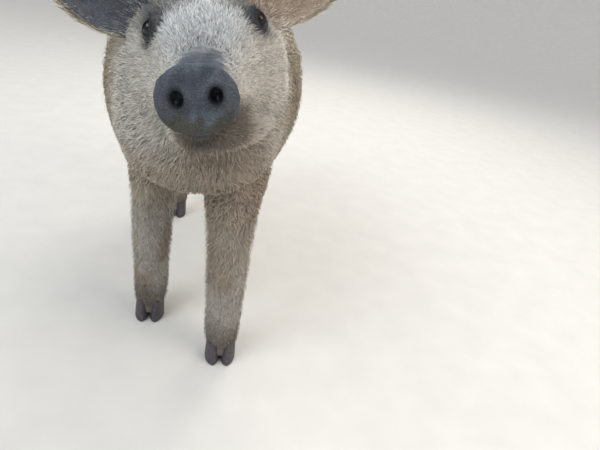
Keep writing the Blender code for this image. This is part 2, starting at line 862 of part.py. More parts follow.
def dewclaw_matrix(foot, sign):
    x, y = foot
    place = Matrix.Translation((x + sign * 0.0125, y + 0.0235, 0.038))
    return place @ Matrix.Rotation(math.radians(28), 4, "X") @ Matrix.Diagonal((0.0058, 0.0062, 0.0125, 1.0))


def stand_on_origin(nodes):
    """Moves the whole pig so that the middle of its box, on the floor, is the origin."""
    corners = np.array([v.co for obj in nodes for v in obj.data.vertices])
    low, high = corners.min(0), corners.max(0)
    shift = Vector((-(low[0] + high[0]) / 2, -(low[1] + high[1]) / 2, -low[2]))
    for obj in nodes:
        obj.data.transform(Matrix.Translation(shift))


def coat_makers(clumps, planes, reach=0.036):
    """Makers of the clumps that can reach a region."""
    faces = clump_faces()
    return [
        lambda c, i=i, points=points: mesh_object(f"clump_{i}", points, faces, c)
        for i, (root, points) in enumerate(clumps)
        if inside_planes(planes, root, reach)
    ]


def main():
    clear_scene()
    body = new_collection("pig")
    materials = make_materials()
    forms = make_forms()
    skull = forms["skull"]
    half = GAP / 2
    nodes = []

    def solid(name, grow=0.0):
        return lambda c: form_object(name, forms[name], c, grow)

    def part_of(planes, margin=half):
        return lambda c: region("region", planes, c, margin)

    def add(name, material, pieces, inside=(), away=()):
        nodes.append(make_node(name, pieces, body, materials[material], inside, away))

    head_along = (skull.matrix @ Vector((0, 1, 0))) - (skull.matrix @ Vector((0, 0, 0)))
    plate_end = (tuple(skull.matrix @ Vector((0, SNOUT_PLATE_SHARE, 0))), tuple(head_along))
    legs = {
        "foreleg_left": ("left", FORE_TOP, FORE_FROM, FORE_TO, FORE_LEFT_AT),
        "foreleg_right": ("right", FORE_TOP, FORE_FROM, FORE_TO, FORE_RIGHT_AT),
        "hindleg_left": ("left", HIND_TOP, HIND_FROM, HIND_TO, HIND_LEFT_AT),
        "hindleg_right": ("right", HIND_TOP, HIND_FROM, HIND_TO, HIND_RIGHT_AT),
    }
    boxes = {name: leg_box(*row[:4]) for name, row in legs.items()}
    leg_spaces = [part_of(box, -half) for box in boxes.values()]
    nostrils = [
        lambda c, sign=sign: ball("nostril", 1.0, nostril_matrix(skull, sign), c, 12, 8)
        for sign in (1, -1)
    ]

    # Snout plate, eyes, head and lower jaw
    add("snout", "snout", [solid("skull")], [part_of([plate_end])], nostrils)
    lids, sockets, openings = [], [], []
    for side in ("left", "right"):
        frame = eye_frame(skull, side)
        opening = frame @ Matrix.Translation((0, 0, EYE_RADIUS)) @ Matrix.Diagonal((*LID_OPENING, 1.0))
        lids.append(lambda c, m=frame: ball("lid", EYE_RADIUS + LID_THICKNESS, m, c, 14, 10))
        sockets.append(lambda c, m=frame: ball("socket", EYE_RADIUS + GAP, m, c, 16, 10))
        openings.append(lambda c, m=opening: ball("opening", 1.0, m, c, 14, 8))
        add("eye_" + side, "eye", [lambda c, m=frame: ball("eye", EYE_RADIUS, m, c, 12, 8)])
    add("head", "face", [solid("skull"), solid("neck"), *lids],
        [part_of([HEAD_END, flip(plate_end)])], [*nostrils, *sockets, *openings])
    add("lower_jaw", "face", [solid("jaw")], [part_of([HEAD_END, flip(plate_end)])],
        [solid("skull", GAP), solid("neck", GAP), solid("trunk", GAP)])
    for side in ("left", "right"):
        add("ear_" + side, "ear", [lambda c, s=side: ear_object("ear", s, skull, c)], [],
            [solid("skull", GAP), solid("neck", GAP)])

    # Neck and trunk in three lengths, with their coat, and the tail
    tools = new_collection("tools")
    core = coated_core(forms, tools)
    tail_line = through(TAIL, np.linspace(0.12, 1, 36))
    keep_clear = tail_line + (0, 0, 0, TAIL_CLEARANCE)
    clumps = make_coat(core, boxes.values(), keep_clear)
    discard(tools)
    lengths = {
        "neck": [flip(HEAD_END), NECK_END],
        "shoulders": [flip(NECK_END), SHOULDERS_END],
        "barrel": [flip(SHOULDERS_END), BARREL_END],
        "hindquarters": [flip(BARREL_END)],
    }
    for name, planes in lengths.items():
        add(name, "coat",
            [lambda c: coated_core(forms, c), *coat_makers(clumps, planes)],
            [part_of(planes)], leg_spaces)
    locks = [lambda c, i=i: tassel_lock(i, c) for i in range(TASSEL_LOCKS)]
    add("tail", "coat", [tail_object, *locks], [], [solid("trunk", tail_root_growth)])

    # Legs and claws
    for name, (side, _, _, _, foot) in legs.items():
        ankle = coronet(foot)
        add(name, "coat", [solid(name)], [part_of([*boxes[name], ankle])])
        for place, sign in (("inner", -1), ("outer", 1)):
            across = sign if side == "left" else -sign
            add(f"claw_{name}_{place}", "claw",
                [lambda c, s=across: claw_object("claw", foot, s, c)], [part_of([flip(ankle)])])
            add(f"dewclaw_{name}_{place}", "claw",
                [lambda c, s=across: ball("dewclaw", 1.0, dewclaw_matrix(foot, s), c, 6, 4)],
                [], [solid(name, GAP)])
    stand_on_origin(nodes)


main()
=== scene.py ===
import math

import bmesh
import bpy
import numpy as np
from mathutils import Matrix, Vector


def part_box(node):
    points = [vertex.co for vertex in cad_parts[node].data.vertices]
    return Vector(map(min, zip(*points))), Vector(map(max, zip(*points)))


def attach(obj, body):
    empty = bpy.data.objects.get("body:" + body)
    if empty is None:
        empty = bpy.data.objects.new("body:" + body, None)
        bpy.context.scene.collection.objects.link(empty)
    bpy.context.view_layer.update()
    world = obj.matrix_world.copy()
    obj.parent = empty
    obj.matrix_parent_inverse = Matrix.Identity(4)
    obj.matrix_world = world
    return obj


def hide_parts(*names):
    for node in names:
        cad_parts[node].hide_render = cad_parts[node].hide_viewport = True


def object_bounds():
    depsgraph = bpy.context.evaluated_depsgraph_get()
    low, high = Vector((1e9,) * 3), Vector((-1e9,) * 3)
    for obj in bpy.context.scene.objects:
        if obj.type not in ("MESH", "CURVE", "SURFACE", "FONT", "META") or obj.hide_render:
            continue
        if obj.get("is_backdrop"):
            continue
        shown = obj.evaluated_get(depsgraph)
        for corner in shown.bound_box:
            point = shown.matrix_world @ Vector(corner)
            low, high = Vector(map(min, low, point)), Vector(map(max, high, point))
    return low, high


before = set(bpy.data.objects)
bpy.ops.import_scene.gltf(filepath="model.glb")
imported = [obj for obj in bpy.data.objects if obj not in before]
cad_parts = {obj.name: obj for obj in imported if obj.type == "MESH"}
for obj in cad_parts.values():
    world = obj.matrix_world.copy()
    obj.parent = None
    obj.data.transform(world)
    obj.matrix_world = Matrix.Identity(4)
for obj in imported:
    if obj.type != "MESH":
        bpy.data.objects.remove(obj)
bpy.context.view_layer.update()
chance = np.random.default_rng(23)
coatShare = 1.0
print("stage: frame loaded")

# Sizes of the pig, in metres and degrees, with the snout at the front and the hind end at +Y
pig = {
    "withers": 0.445,
    "chest": 0.103,
    "trunkFront": -0.062,
    "trunkLength": 0.565,
    "headLength": 0.250,
    "snoutAt": (0.004, -0.190, 0.392),
    "headYaw": -3.0,
    "headPitch": -3.0,
    "headRoll": -13.5,
    "coatDepth": 0.023,
    "hips": {"foreleg_left": 0.043, "foreleg_right": 0.060, "hindleg_left": 0.056, "hindleg_right": 0.056},
    "headEnd": ((0.0, -0.016, 0.389), (0.0, 0.908, -0.420)),
    "feet": {
        "foreleg_left": (0.047, -0.018),
        "foreleg_right": (-0.060, 0.066),
        "hindleg_left": (0.058, 0.452),
        "hindleg_right": (-0.058, 0.405),
    },
}
# Share of length, share of half width, top and bottom as shares of the withers height
trunkRows = [
    (0.000, 0.38, 0.745, 0.625), (0.030, 0.70, 0.850, 0.580), (0.080, 0.88, 0.945, 0.562),
    (0.160, 0.97, 0.990, 0.555), (0.270, 1.00, 1.000, 0.545), (0.420, 0.99, 0.998, 0.525),
    (0.570, 1.03, 1.010, 0.515), (0.720, 1.02, 1.018, 0.545), (0.850, 0.95, 0.998, 0.610),
    (0.950, 0.74, 0.930, 0.690), (1.000, 0.38, 0.850, 0.765),
]
# Place along, half width, top and bottom
neckRows = [
    (-0.075, 0.046, 0.438, 0.345), (-0.045, 0.066, 0.452, 0.312), (-0.010, 0.083, 0.459, 0.285),
    (0.030, 0.094, 0.460, 0.262), (0.080, 0.098, 0.452, 0.255),
]
skullRows = [
    (0.000, 0.0270, 0.0215, -0.0225), (0.010, 0.0300, 0.0245, -0.0255), (0.030, 0.0300, 0.0245, -0.0255),
    (0.048, 0.0275, 0.0225, -0.0250), (0.080, 0.0275, 0.0228, -0.0275), (0.140, 0.0310, 0.0245, -0.0310),
    (0.220, 0.0375, 0.0275, -0.0330), (0.300, 0.0450, 0.0320, -0.0345), (0.380, 0.0525, 0.0425, -0.0380),
    (0.440, 0.0580, 0.0525, -0.0450), (0.500, 0.0625, 0.0610, -0.0550), (0.580, 0.0670, 0.0685, -0.0650),
    (0.660, 0.0700, 0.0735, -0.0715), (0.740, 0.0715, 0.0755, -0.0745), (0.820, 0.0710, 0.0750, -0.0740),
    (0.920, 0.0650, 0.0690, -0.0680), (1.000, 0.0480, 0.0520, -0.0540),
]
jawRows = [
    (0.078, 0.0120, -0.0270, -0.0370), (0.100, 0.0205, -0.0215, -0.0435), (0.140, 0.0252, -0.0185, -0.0480),
    (0.200, 0.0295, -0.0180, -0.0520), (0.300, 0.0365, -0.0180, -0.0580), (0.400, 0.0440, -0.0150, -0.0640),
    (0.500, 0.0505, -0.0100, -0.0690), (0.600, 0.0530, -0.0060, -0.0705), (0.700, 0.0480, -0.0060, -0.0690),
]
# Share of length, degrees up from the side, height, spread along and spread in degrees
headBumps = [
    (0.500, 48, 0.0045, 0.055, 15), (0.430, 30, -0.0035, 0.045, 18), (0.600, 8, 0.0045, 0.070, 26),
    (0.690, -42, 0.0060, 0.080, 24), (0.200, -38, 0.0028, 0.060, 18), (0.330, 62, -0.0020, 0.060, 24),
]
# Height, set-back behind the foot, half width and half depth
forelegRows = [
    (0.310, 0.038, 0.039, 0.052), (0.260, 0.032, 0.0375, 0.048), (0.215, 0.020, 0.0335, 0.038),
    (0.170, 0.009, 0.0295, 0.0310), (0.135, 0.003, 0.0288, 0.0290), (0.105, 0.003, 0.0276, 0.0266),
    (0.080, 0.005, 0.0270, 0.0256), (0.056, 0.006, 0.0270, 0.0262), (0.036, 0.002, 0.0258, 0.0248),
    (0.020, -0.003, 0.0246, 0.0250), (0.010, -0.005, 0.0230, 0.0238),
]
hindlegRows = [
    (0.385, -0.032, 0.022, 0.046), (0.360, -0.026, 0.038, 0.068), (0.330, -0.020, 0.047, 0.081),
    (0.280, -0.010, 0.045, 0.076), (0.235, 0.002, 0.0390, 0.056),
    (0.200, 0.018, 0.0320, 0.0410), (0.170, 0.030, 0.0275, 0.0335), (0.148, 0.034, 0.0260, 0.0305),
    (0.120, 0.028, 0.0240, 0.0258), (0.085, 0.018, 0.0246, 0.0240), (0.056, 0.010, 0.0256, 0.0254),
    (0.036, 0.004, 0.0250, 0.0242), (0.020, -0.002, 0.0240, 0.0248), (0.010, -0.004, 0.0230, 0.0238),
]
# Share, x, y, z and radius of the tail's middle line
tailRows = [
    (0.00, 0.000, 0.462, 0.398, 0.0120), (0.20, 0.002, 0.508, 0.404, 0.0105), (0.38, 0.010, 0.538, 0.382, 0.0085),
    (0.55, 0.019, 0.548, 0.345, 0.0072), (0.72, 0.016, 0.544, 0.310, 0.0062), (0.86, 0.002, 0.542, 0.284, 0.0054),
    (1.00, -0.012, 0.550, 0.262, 0.0042),
]


# Smooth step: t squared times (3 - 2 t), with t running from 0 at low to 1 at high.
def smooth(value, low, high):
    t = np.clip((np.asarray(value, float) - low) / (high - low), 0.0, 1.0)
    return t * t * (3 - 2 * t)


# Distance from an ellipse's middle, 1 on its edge: the root of (a / wide) squared plus (b / high) squared.
def ellipse(a, b, wide, high):
    return np.sqrt((a / wide) ** 2 + (b / high) ** 2)
# Hermite curve through the rows, with each row's slope from its neighbours' finite difference.
def through(rows, at):
    rows = np.array(rows, float)
    key, values = rows[:, 0], rows[:, 1:]
    slope = np.gradient(values, key, axis=0)
    at = np.clip(np.atleast_1d(at), key[0], key[-1])
    i = np.clip(np.searchsorted(key, at, side="right") - 1, 0, len(key) - 2)
    span = (key[i + 1] - key[i])[:, None]
    t = ((at - key[i]) / (key[i + 1] - key[i]))[:, None]
    return (
        values[i] * (2 * t**3 - 3 * t**2 + 1)
        + slope[i] * span * (t**3 - 2 * t**2 + t)
        + values[i + 1] * (3 * t**2 - 2 * t**3)
        + slope[i + 1] * span * (t**3 - t**2)
    )


# Each vector over its own length.
def unit(vectors):
    return vectors / np.maximum(np.linalg.norm(vectors, axis=-1, keepdims=True), 1e-9)


# Soft patches: a sum of sines of the place, each set with its own direction and length.
def patches(points, scale, seed):
    turn = np.random.default_rng(seed).normal(size=(5, 3))
    phase = np.random.default_rng(seed + 1).uniform(0, 6.28, 5)
    waves = np.sin(points @ unit(turn).T * (2 * math.pi / scale) * np.array([1.0, 1.37, 0.71, 1.9, 2.6]) + phase)
    return waves @ np.array([0.34, 0.24, 0.22, 0.12, 0.08])


# Rigid frame of the head: y back from the middle of the snout, z up, in metres.
def headFrame():
    yaw, pitch, roll = (math.radians(pig[k]) for k in ("headYaw", "headPitch", "headRoll"))
    turn = Matrix.Rotation(yaw, 4, "Z") @ Matrix.Rotation(pitch, 4, "X") @ Matrix.Rotation(roll, 4, "Y")
    return np.array(Matrix.Translation(pig["snoutAt"]) @ turn)


head = headFrame()


# A place in the head's own frame: its way from the snout's middle, turned back by the head's turn.
def toHead(points):
    return (np.atleast_2d(points) - head[:3, 3]) @ head[:3, :3]


# The same way back: turned with the head and moved to the snout's middle.
def fromHead(points):
    return np.atleast_2d(points) @ head[:3, :3].T + head[:3, 3]


# A leg's own y is its height and its z faces front; x leans from the foot to the hip with the height.
def legForm(rows, foot, hip):
    low = [(h, w, d - b, -d - b) for h, b, w, d in reversed(rows)]
    lean = (math.copysign(hip, foot[0]) - foot[0]) / low[-1][0]
    place = np.array([[1, lean, 0, foot[0]], [0, 0, -1, foot[1]], [0, 1, 0, 0], [0, 0, 0, 1]], float)
    return {"rows": low, "place": place, "roundness": 2.1, "middle": 0.5, "bumps": []}


# Every form's rows in metres, with its place, its roundness and how high its middle lies.
def makeForms():
    long, high = pig["trunkLength"], pig["withers"]
    trunk = [(pig["trunkFront"] + s * long, w * pig["chest"], t * high, b * high) for s, w, t, b in trunkRows]
    length = np.diag([1.0, pig["headLength"], 1.0, 1.0])
    made = {
        "trunk": {"rows": trunk, "place": np.eye(4), "roundness": 2.3, "middle": 0.54, "bumps": []},
        "neck": {"rows": neckRows, "place": np.eye(4), "roundness": 2.2, "middle": 0.51, "bumps": []},
        "skull": {"rows": skullRows, "place": head @ length, "roundness": 2.25, "middle": 0.5, "bumps": headBumps},
        "jaw": {"rows": jawRows, "place": head @ length, "roundness": 2.3, "middle": 0.45, "bumps": []},
    }
    for name, foot in pig["feet"].items():
        fore = name.startswith("fore")
        made[name] = legForm(forelegRows if fore else hindlegRows, foot, pig["hips"][name])
    return made


# Superellipse section: half width times cos to the power p, height times sin to the power p, p = 2 / roundness.
def formPoints(form, along, angle, grow=0.0):
    along = np.atleast_1d(np.asarray(along, float))
    angle = np.broadcast_to(np.asarray(angle, float), along.shape)
    if callable(grow):
        grow = grow(formPoints(form, along, angle))
    halfWidth, top, bottom = through(form["rows"], along).T
    centre = bottom + (top - bottom) * form["middle"]
    power = 2.0 / form["roundness"]
    side = np.sign(np.cos(angle)) * np.abs(np.cos(angle)) ** power
    rise = np.sign(np.sin(angle)) * np.abs(np.sin(angle)) ** power
    lift = np.degrees(np.arctan2(np.sin(angle), np.abs(np.cos(angle))))
    swell = np.zeros_like(along)
    for at, degrees, amount, spread, turn in form["bumps"]:
        swell += amount * np.exp(-(((along - at) / spread) ** 2) - ((lift - degrees) / turn) ** 2)
    height = np.where(rise > 0, top - centre, centre - bottom) + grow
    local = np.stack([side * (halfWidth + grow + swell), along, centre + rise * (height + swell)], axis=1)
    return local @ form["place"][:3, :3].T + form["place"][:3, 3]


# Quads between neighbouring rows of a grid whose rows are closed rings.
def ringFaces(count, sides):
    i, r = np.meshgrid(np.arange(sides), np.arange(count - 1))
    j = (i + 1) % sides
    return np.stack([r * sides + i, r * sides + j, (r + 1) * sides + j, (r + 1) * sides + i], -1).reshape(-1, 4)


# One closed shell of rings, with a fan to a pole at the middle of either end ring, turned to face outwards.
def ringMesh(rings):
    count, sides = rings.shape[:2]
    points = np.vstack([rings.reshape(-1, 3), rings[0].mean(0), rings[-1].mean(0)])
    side = np.arange(sides)
    turn = (side + 1) % sides
    first = np.stack([np.full(sides, count * sides), turn, side], 1)
    last = np.stack([np.full(sides, count * sides + 1), (count - 1) * sides + side, (count - 1) * sides + turn], 1)
    faces = ringFaces(count, sides).tolist() + first.tolist() + last.tolist()
    middle = points.mean(0)
    a, b, c = (points[[f[k] for f in faces]] for k in range(3))
    if np.einsum("ij,ij->", np.cross(b - a, c - a), a - middle) < 0:
        faces = [f[::-1] for f in faces]
    return points, faces


# A form's rings at even steps along it, each at even turns of its section.
def formMesh(form, rings, sides, grow):
    at = np.linspace(form["rows"][0][0], form["rows"][-1][0], rings)
    turn = np.arange(sides) * 2 * math.pi / sides
    return ringMesh(np.array([formPoints(form, np.full(sides, s), turn, grow) for s in at]))


# Rings of a given radius, square to the line through the points.
def tubeRings(line, radii, sides, side=(1.0, 0.15, 0.05)):
    forward = unit(np.gradient(line, axis=0))
    across = unit(np.cross(forward, side))
    third = np.cross(forward, across)
    turn = (np.arange(sides) * 2 * math.pi / sides)[None, :, None]
    return line[:, None] + (np.cos(turn) * across[:, None] + np.sin(turn) * third[:, None]) * radii[:, None, None]


# Several shells as one mesh: each one's corners are counted on from the shell before.
def gather(shells):
    points, faces, base = [], [], 0
    for shellPoints, shellFaces in shells:
        points.append(shellPoints)
        faces += [[v + base for v in face] for face in shellFaces]
        base += len(shellPoints)
    return np.vstack(points), faces


# A smooth object of these points and faces, at the origin.
def addObject(name, points, faces, material=None):
    mesh = bpy.data.meshes.new(name)
    mesh.from_pydata(np.asarray(points).tolist(), [], faces)
    mesh.update()
    obj = bpy.data.objects.new(name, mesh)
    bpy.context.scene.collection.objects.link(obj)
    if material:
        mesh.materials.append(material)
    mesh.shade_smooth()
    return obj


# A mesh's points, their normals and its triangles' corners, as whole arrays.
def meshArrays(mesh):
    points = np.empty(len(mesh.vertices) * 3, np.float32)
    mesh.vertices.foreach_get("co", points)
    normals = np.empty(len(mesh.vertices) * 3, np.float32)
    mesh.vertex_normals.foreach_get("vector", normals)
    mesh.calc_loop_triangles()
    corners = np.empty(len(mesh.loop_triangles) * 3, np.int32)
    mesh.loop_triangles.foreach_get("vertices", corners)
    return points.reshape(-1, 3).astype(float), normals.reshape(-1, 3).astype(float), corners.reshape(-1, 3)


# Writes a colour for every point.
def paintPoints(mesh, name, colours):
    layer = mesh.attributes.new(name, "FLOAT_COLOR", "POINT")
    layer.data.foreach_set("color", np.column_stack([colours, np.ones(len(colours))]).astype(np.float32).ravel())


# Writes a number for every point.
def paintValues(mesh, name, values):
    mesh.attributes.new(name, "FLOAT", "POINT").data.foreach_set("value", np.asarray(values, np.float32))


forms = makeForms()
# The ball, how deep it sits, its place on the skull, its slant, its cornea and the half sizes of the gap round it
eyeShape = {
    "radius": 0.0105, "sunk": 0.0078, "place": (0.505, math.radians(43)), "tilt": math.radians(38), "cornea": 0.0011,
    "gap": (0.0112, 0.0088),
}
# Half the way between the nostrils, their height, and the half sizes of a nostril's edge and of its hairless pit
nostril = {"side": 0.0140, "high": 0.0014, "edge": (0.0052, 0.0066), "pit": (0.0062, 0.0076)}


# Point, outward normal and lengthwise direction of a form's surface, by small steps along and round it.
def surfaceFrame(form, along, angle):
    step = (form["rows"][-1][0] - form["rows"][0][0]) * 1e-3
    here = formPoints(form, along, angle)[0]
    lengthwise = unit(formPoints(form, along + step, angle)[0] - here)
    around = unit(formPoints(form, along, angle + 1e-3)[0] - here)
    normal = unit(np.cross(lengthwise, around))
    middle = formPoints(form, np.full(12, along), np.arange(12) * math.pi / 6).mean(0)
    return here, normal * (1 if normal @ (here - middle) > 0 else -1), lengthwise


# The eye's centre and its corner, up and outward directions.
def eyeFrame(side):
    along, angle = eyeShape["place"]
    here, normal, lengthwise = surfaceFrame(forms["skull"], along, angle if side == "left" else math.pi - angle)
    out = unit(normal + np.array([0.0, -0.25, 0.0]))
    corner = Vector(unit(-lengthwise + out * (lengthwise @ out)))
    sign = 1.0 if side == "left" else -1.0
    corner = np.array(Matrix.Rotation(sign * eyeShape["tilt"], 3, Vector(out)) @ corner)
    return here - normal * eyeShape["sunk"], corner, sign * np.cross(corner, out), out


eyes = {side: eyeFrame(side) for side in ("left", "right")}
low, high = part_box("eye_left")
shift = np.array((low + high) / 2) - eyes["left"][0]
shift[2] = 0.0
print("stage: pig stands", np.round(shift, 5), "from its own frame")


# A place as an eye has it: how far along its corner, up and outward directions.
def fromEye(points, eye):
    centre, *ways = eye
    return [(points - centre) @ way for way in ways]


# Distance from the middle of the nearer nostril, 1 on the ellipse of that name.
def nostrilReach(local, name):
    return ellipse(np.abs(local[:, 0]) - nostril["side"], local[:, 2] - nostril["high"], *nostril[name])


# Distance behind the plane where the head ends: the way from its point, times its normal.
def behindHead(points):
    at, normal = (np.array(v) for v in pig["headEnd"])
    return (np.atleast_2d(points) - at) @ unit(normal)


# Height of the coat's tips over the skin: the full depth well behind the head, more on the crest, less below.
def coatHeight(points):
    points = np.atleast_2d(points)
    grown = 0.12 + 0.88 * smooth(behindHead(points), 0.0, 0.11)
    crest = 0.20 * smooth(points[:, 2], 0.40, 0.46)
    belly = 0.25 * smooth(-points[:, 2], -0.27, -0.23)
    elbow = 0.48 * (1 - smooth(points[:, 1], 0.08, 0.16)) * (1 - smooth(points[:, 2], 0.26, 0.36))
    return pig["coatDepth"] * grown * (1 + crest - belly - elbow)


# The skin: every form, drawn in by the depth of its short hair, melted into one surface.
skinLook = {
    "voxel": 0.0034, "smoothing": 3, "headInset": 0.0034, "legInset": 0.0042, "clawInset": 0.0070, "tailInset": 0.0015,
}


# The skin's depth under the solids: 0 at the bare snout, the head's depth behind it.
def headInset(points):
    return -skinLook["headInset"] * smooth(toHead(points)[:, 1], 0.010, 0.030)


# The head's depth again, eased to 0 behind the head.
def bodyInset(points):
    return -skinLook["headInset"] * (1 - smooth(behindHead(points), 0.0, 0.08))


# The legs' depth below the elbow, and the claws' depth more inside the claws.
def legInset(points):
    height = points[:, 2]
    clawPart = skinLook["clawInset"] * (1 - smooth(height, 0.024, 0.035))
    return -skinLook["legInset"] * (1 - smooth(height, 0.20, 0.29)) - clawPart


# The shells that melt into the skin: trunk, neck, skull, jaw, legs and the tube of the tail.
def skinShells():
    shells = [
        formMesh(forms["trunk"], 90, 72, bodyInset),
        formMesh(forms["neck"], 40, 72, bodyInset),
        formMesh(forms["skull"], 110, 72, headInset),
        formMesh(forms["jaw"], 60, 48, headInset),
    ]
    shells += [formMesh(form, 70, 40, legInset) for name, form in forms.items() if "leg" in name]
    rows = through(tailRows, np.linspace(0, 1, 40))
    shells.append(ringMesh(tubeRings(rows[:, :3], rows[:, 3] - skinLook["tailInset"], 16)))
    return shells


# Moves points of the head to cut the nostrils, the mouth line, the lips and the folds of the snout.
def carveHead(points, normals):
    local, localNormals = toHead(points), normals @ head[:3, :3]
    x, y, z = local.T
    side = np.abs(x)
    front = smooth(-y, -0.016, -0.006)
    # The face of the snout is a shallow dish inside a raised rim.
    disc = ellipse(x, z, 0.0300, 0.0250)
    y = y + 0.0016 * front * (1 - smooth(disc, 0.35, 0.85))
    # A nostril is pushed back by up to its depth inside an ellipse.
    reach = nostrilReach(local, "edge")
    inner = ellipse(side - 0.0148, z + 0.0008, 0.0026, 0.0042)
    y = y + front * (0.0095 * (1 - smooth(reach, 0.60, 1.15)) - 0.0062 * (1 - smooth(inner, 0.2, 1.0)))
    y = y - 0.0007 * front * np.exp(-(((reach - 1.5) / 0.30) ** 2))
    # A fold runs down from between the nostrils, and fine folds cross the bridge of the nose.
    y = y + 0.0007 * front * np.exp(-((x / 0.0012) ** 2)) * smooth(-z, -0.002, 0.012)
    bridge = smooth(y, 0.012, 0.018) * (1 - smooth(y, 0.060, 0.090)) * smooth(z, 0.000, 0.014)
    fold = 0.00055 * bridge * np.sin(2 * math.pi * (y + 0.16 * side + 0.0012 * patches(local, 0.02, 41)) / 0.0088)
    # The rim is uneven, and two shallow troughs run down and out below the nostrils.
    y = y + 0.0007 * front * patches(local, 0.022, 43) + 0.0003 * front * patches(local, 0.006, 44)
    trough = np.exp(-(((side - 0.0165 - 0.25 * (-z - 0.006)) / 0.0022) ** 2)) * smooth(-z, 0.004, 0.010)
    y = y + 0.0006 * front * trough
    fold = fold + 0.0004 * (1 - smooth(y, 0.012, 0.03)) * patches(local, 0.013, 45)
    # The mouth line sinks in where the height crosses its own curve, and a lip swells on either side of it.
    mouth = z - (-0.0240 + 0.20 * np.maximum(0.0, y - 0.062))
    along = smooth(y, 0.010, 0.018) * (1 - smooth(y, 0.084, 0.094))
    lip = 0.0012 * np.exp(-(((np.abs(mouth) - 0.0046) / 0.0026) ** 2))
    crease = along * (-0.0034 * np.exp(-((mouth / 0.0014) ** 2)) + lip)
    world = fromHead(np.stack([x, y, z], 1) + localNormals * (fold + crease)[:, None])
    # Inside the opening of an eye the skin drops back behind the ball.
    for eye in eyes.values():
        a, b, c = fromEye(world, eye)
        inGap = 1 - smooth(ellipse(a, b, *eyeShape["gap"]), 0.75, 1.15)
        world -= eye[3] * (inGap * (c > -0.004) * np.maximum(0.0, c - 0.0045))[:, None]
    return world


# The melted shells, with the front of the head divided finer and carved.
def makeSkin():
    points, faces = gather(skinShells())
    raw = addObject("raw_skin", points, faces)
    melt = raw.modifiers.new("melt", "REMESH")
    melt.mode = "VOXEL"
    melt.voxel_size = skinLook["voxel"]
    ease = raw.modifiers.new("ease", "SMOOTH")
    ease.factor, ease.iterations = 0.5, skinLook["smoothing"]
    mesh = bpy.data.meshes.new_from_object(raw.evaluated_get(bpy.context.evaluated_depsgraph_get()))
    bpy.data.objects.remove(raw)
    obj = bpy.data.objects.new("skin", mesh)
    bpy.context.scene.collection.objects.link(obj)
    # The front of the head and then the snout are halved, with the places round the eyes, so that folds can bend.
    bm = bmesh.new()
    bm.from_mesh(mesh)
    for behindSnout in (0.100, 0.030):
        spots = np.array([v.co for v in bm.verts])
        wanted = toHead(spots)[:, 1] < behindSnout
        for centre, *_ in eyes.values():
            wanted |= np.linalg.norm(spots - centre, axis=1) < 0.022
        bm.verts.index_update()
        edges = [e for e in bm.edges if wanted[e.verts[0].index] and wanted[e.verts[1].index]]
        bmesh.ops.subdivide_edges(bm, edges=edges, cuts=1, use_grid_fill=True)
        bmesh.ops.triangulate(bm, faces=[f for f in bm.faces if len(f.verts) > 4])
    bm.to_mesh(mesh)
    bm.free()
    points, normals, _ = meshArrays(mesh)
    here = toHead(points)[:, 1] < 0.16
    points[here] = carveHead(points[here], normals[here])
    mesh.vertices.foreach_set("co", points.astype(np.float32).ravel())
    mesh.update()
    mesh.shade_smooth()
    return obj


skin = makeSkin()
onSkin = meshArrays(skin.data)
skinPoints = onSkin[0]
print("stage: skin has", len(onSkin[2]), "triangles")

# Colours in the order red, green, blue as a screen shows them, from 0 to 255
tints = {
    "wool": (190, 178, 158),
    "woolPale": (225, 214, 194),
    "back": (164, 150, 128),
    "belly": (160, 143, 122),
    "forehead": (240, 244, 245),
    "muzzle": (228, 224, 217),
    "cheek": (244, 239, 230),
    "throat": (188, 173, 156),
    "leg": (196, 190, 181),
    "legStain": (158, 138, 114),
    "pastern": (122, 114, 104),
    "chin": (126, 117, 105),
    "slate": (64, 71, 82),
    "slatePale": (90, 97, 107),
    "mud": (68, 66, 54),
    "eyeRim": (48, 50, 56),
    "temple": (112, 112, 114),
    "earInside": (92, 96, 104),
    # The left ear's inside: a warmer, paler copy of earInside, with painted sunlight
    "earInsideSunlit": (182, 163, 146),
    "earBack": (168, 158, 144),
}


# A screen's colour c as light: ((c + 0.055) / 1.055) to the power 2.4, and c / 12.92 where it is nearly black.
def tint(name):
    c = np.array(tints[name]) / 255.0
    return np.where(c <= 0.04045, c / 12.92, ((c + 0.055) / 1.055) ** 2.4)


# low, plus the share, from 0 to 1, of the way to high.
def mix(low, high, share):
    return low + (high - low) * np.clip(share, 0, 1)[:, None]


# How bare and slate-coloured the skin is: the snout, and a tongue of it that narrows up the bridge of the nose.
def bareShare(points):
    x, y, z = toHead(points).T
    edge = patches(points, 0.012, 5) * 0.003
    plate = 1 - smooth(y + edge, 0.012, 0.020)
    wide = np.abs(x) + 0.14 * np.maximum(0, y - 0.040) + 1.6 * edge
    tongue = (1 - smooth(wide, 0.015, 0.032)) * smooth(z, -0.004, 0.012) * (1 - smooth(y + 2.5 * edge, 0.058, 0.116))
    return np.maximum(plate, tongue)


# How near a place is to the dark surround of an eye, longer towards the corners than up and down.
def eyeShare(points):
    share = np.zeros(len(points))
    for eye in eyes.values():
        a, b, c = fromEye(points, eye)
        reach = np.sqrt((a / 0.0205) ** 2 + (b / 0.0160) ** 2 + (np.minimum(c, 0) / 0.016) ** 2)
        share = np.maximum(share, 1 - smooth(reach + 0.16 * patches(points, 0.008, 17), 0.58, 1.20))
    return share


# How near a place is to the temple, the darker hair between the outer corner of an eye and the ear.
def templeShare(points):
    share = np.zeros(len(points))
    for eye in eyes.values():
        ahead, high, deep = fromEye(points, eye)
        near = smooth(-ahead, 0.002, 0.014) * (1 - smooth(-ahead, 0.040, 0.064))
        near = near * (1 - smooth(np.abs(high), 0.014, 0.036)) * (1 - smooth(np.abs(deep), 0.025, 0.040))
        share = np.maximum(share, near)
    return share


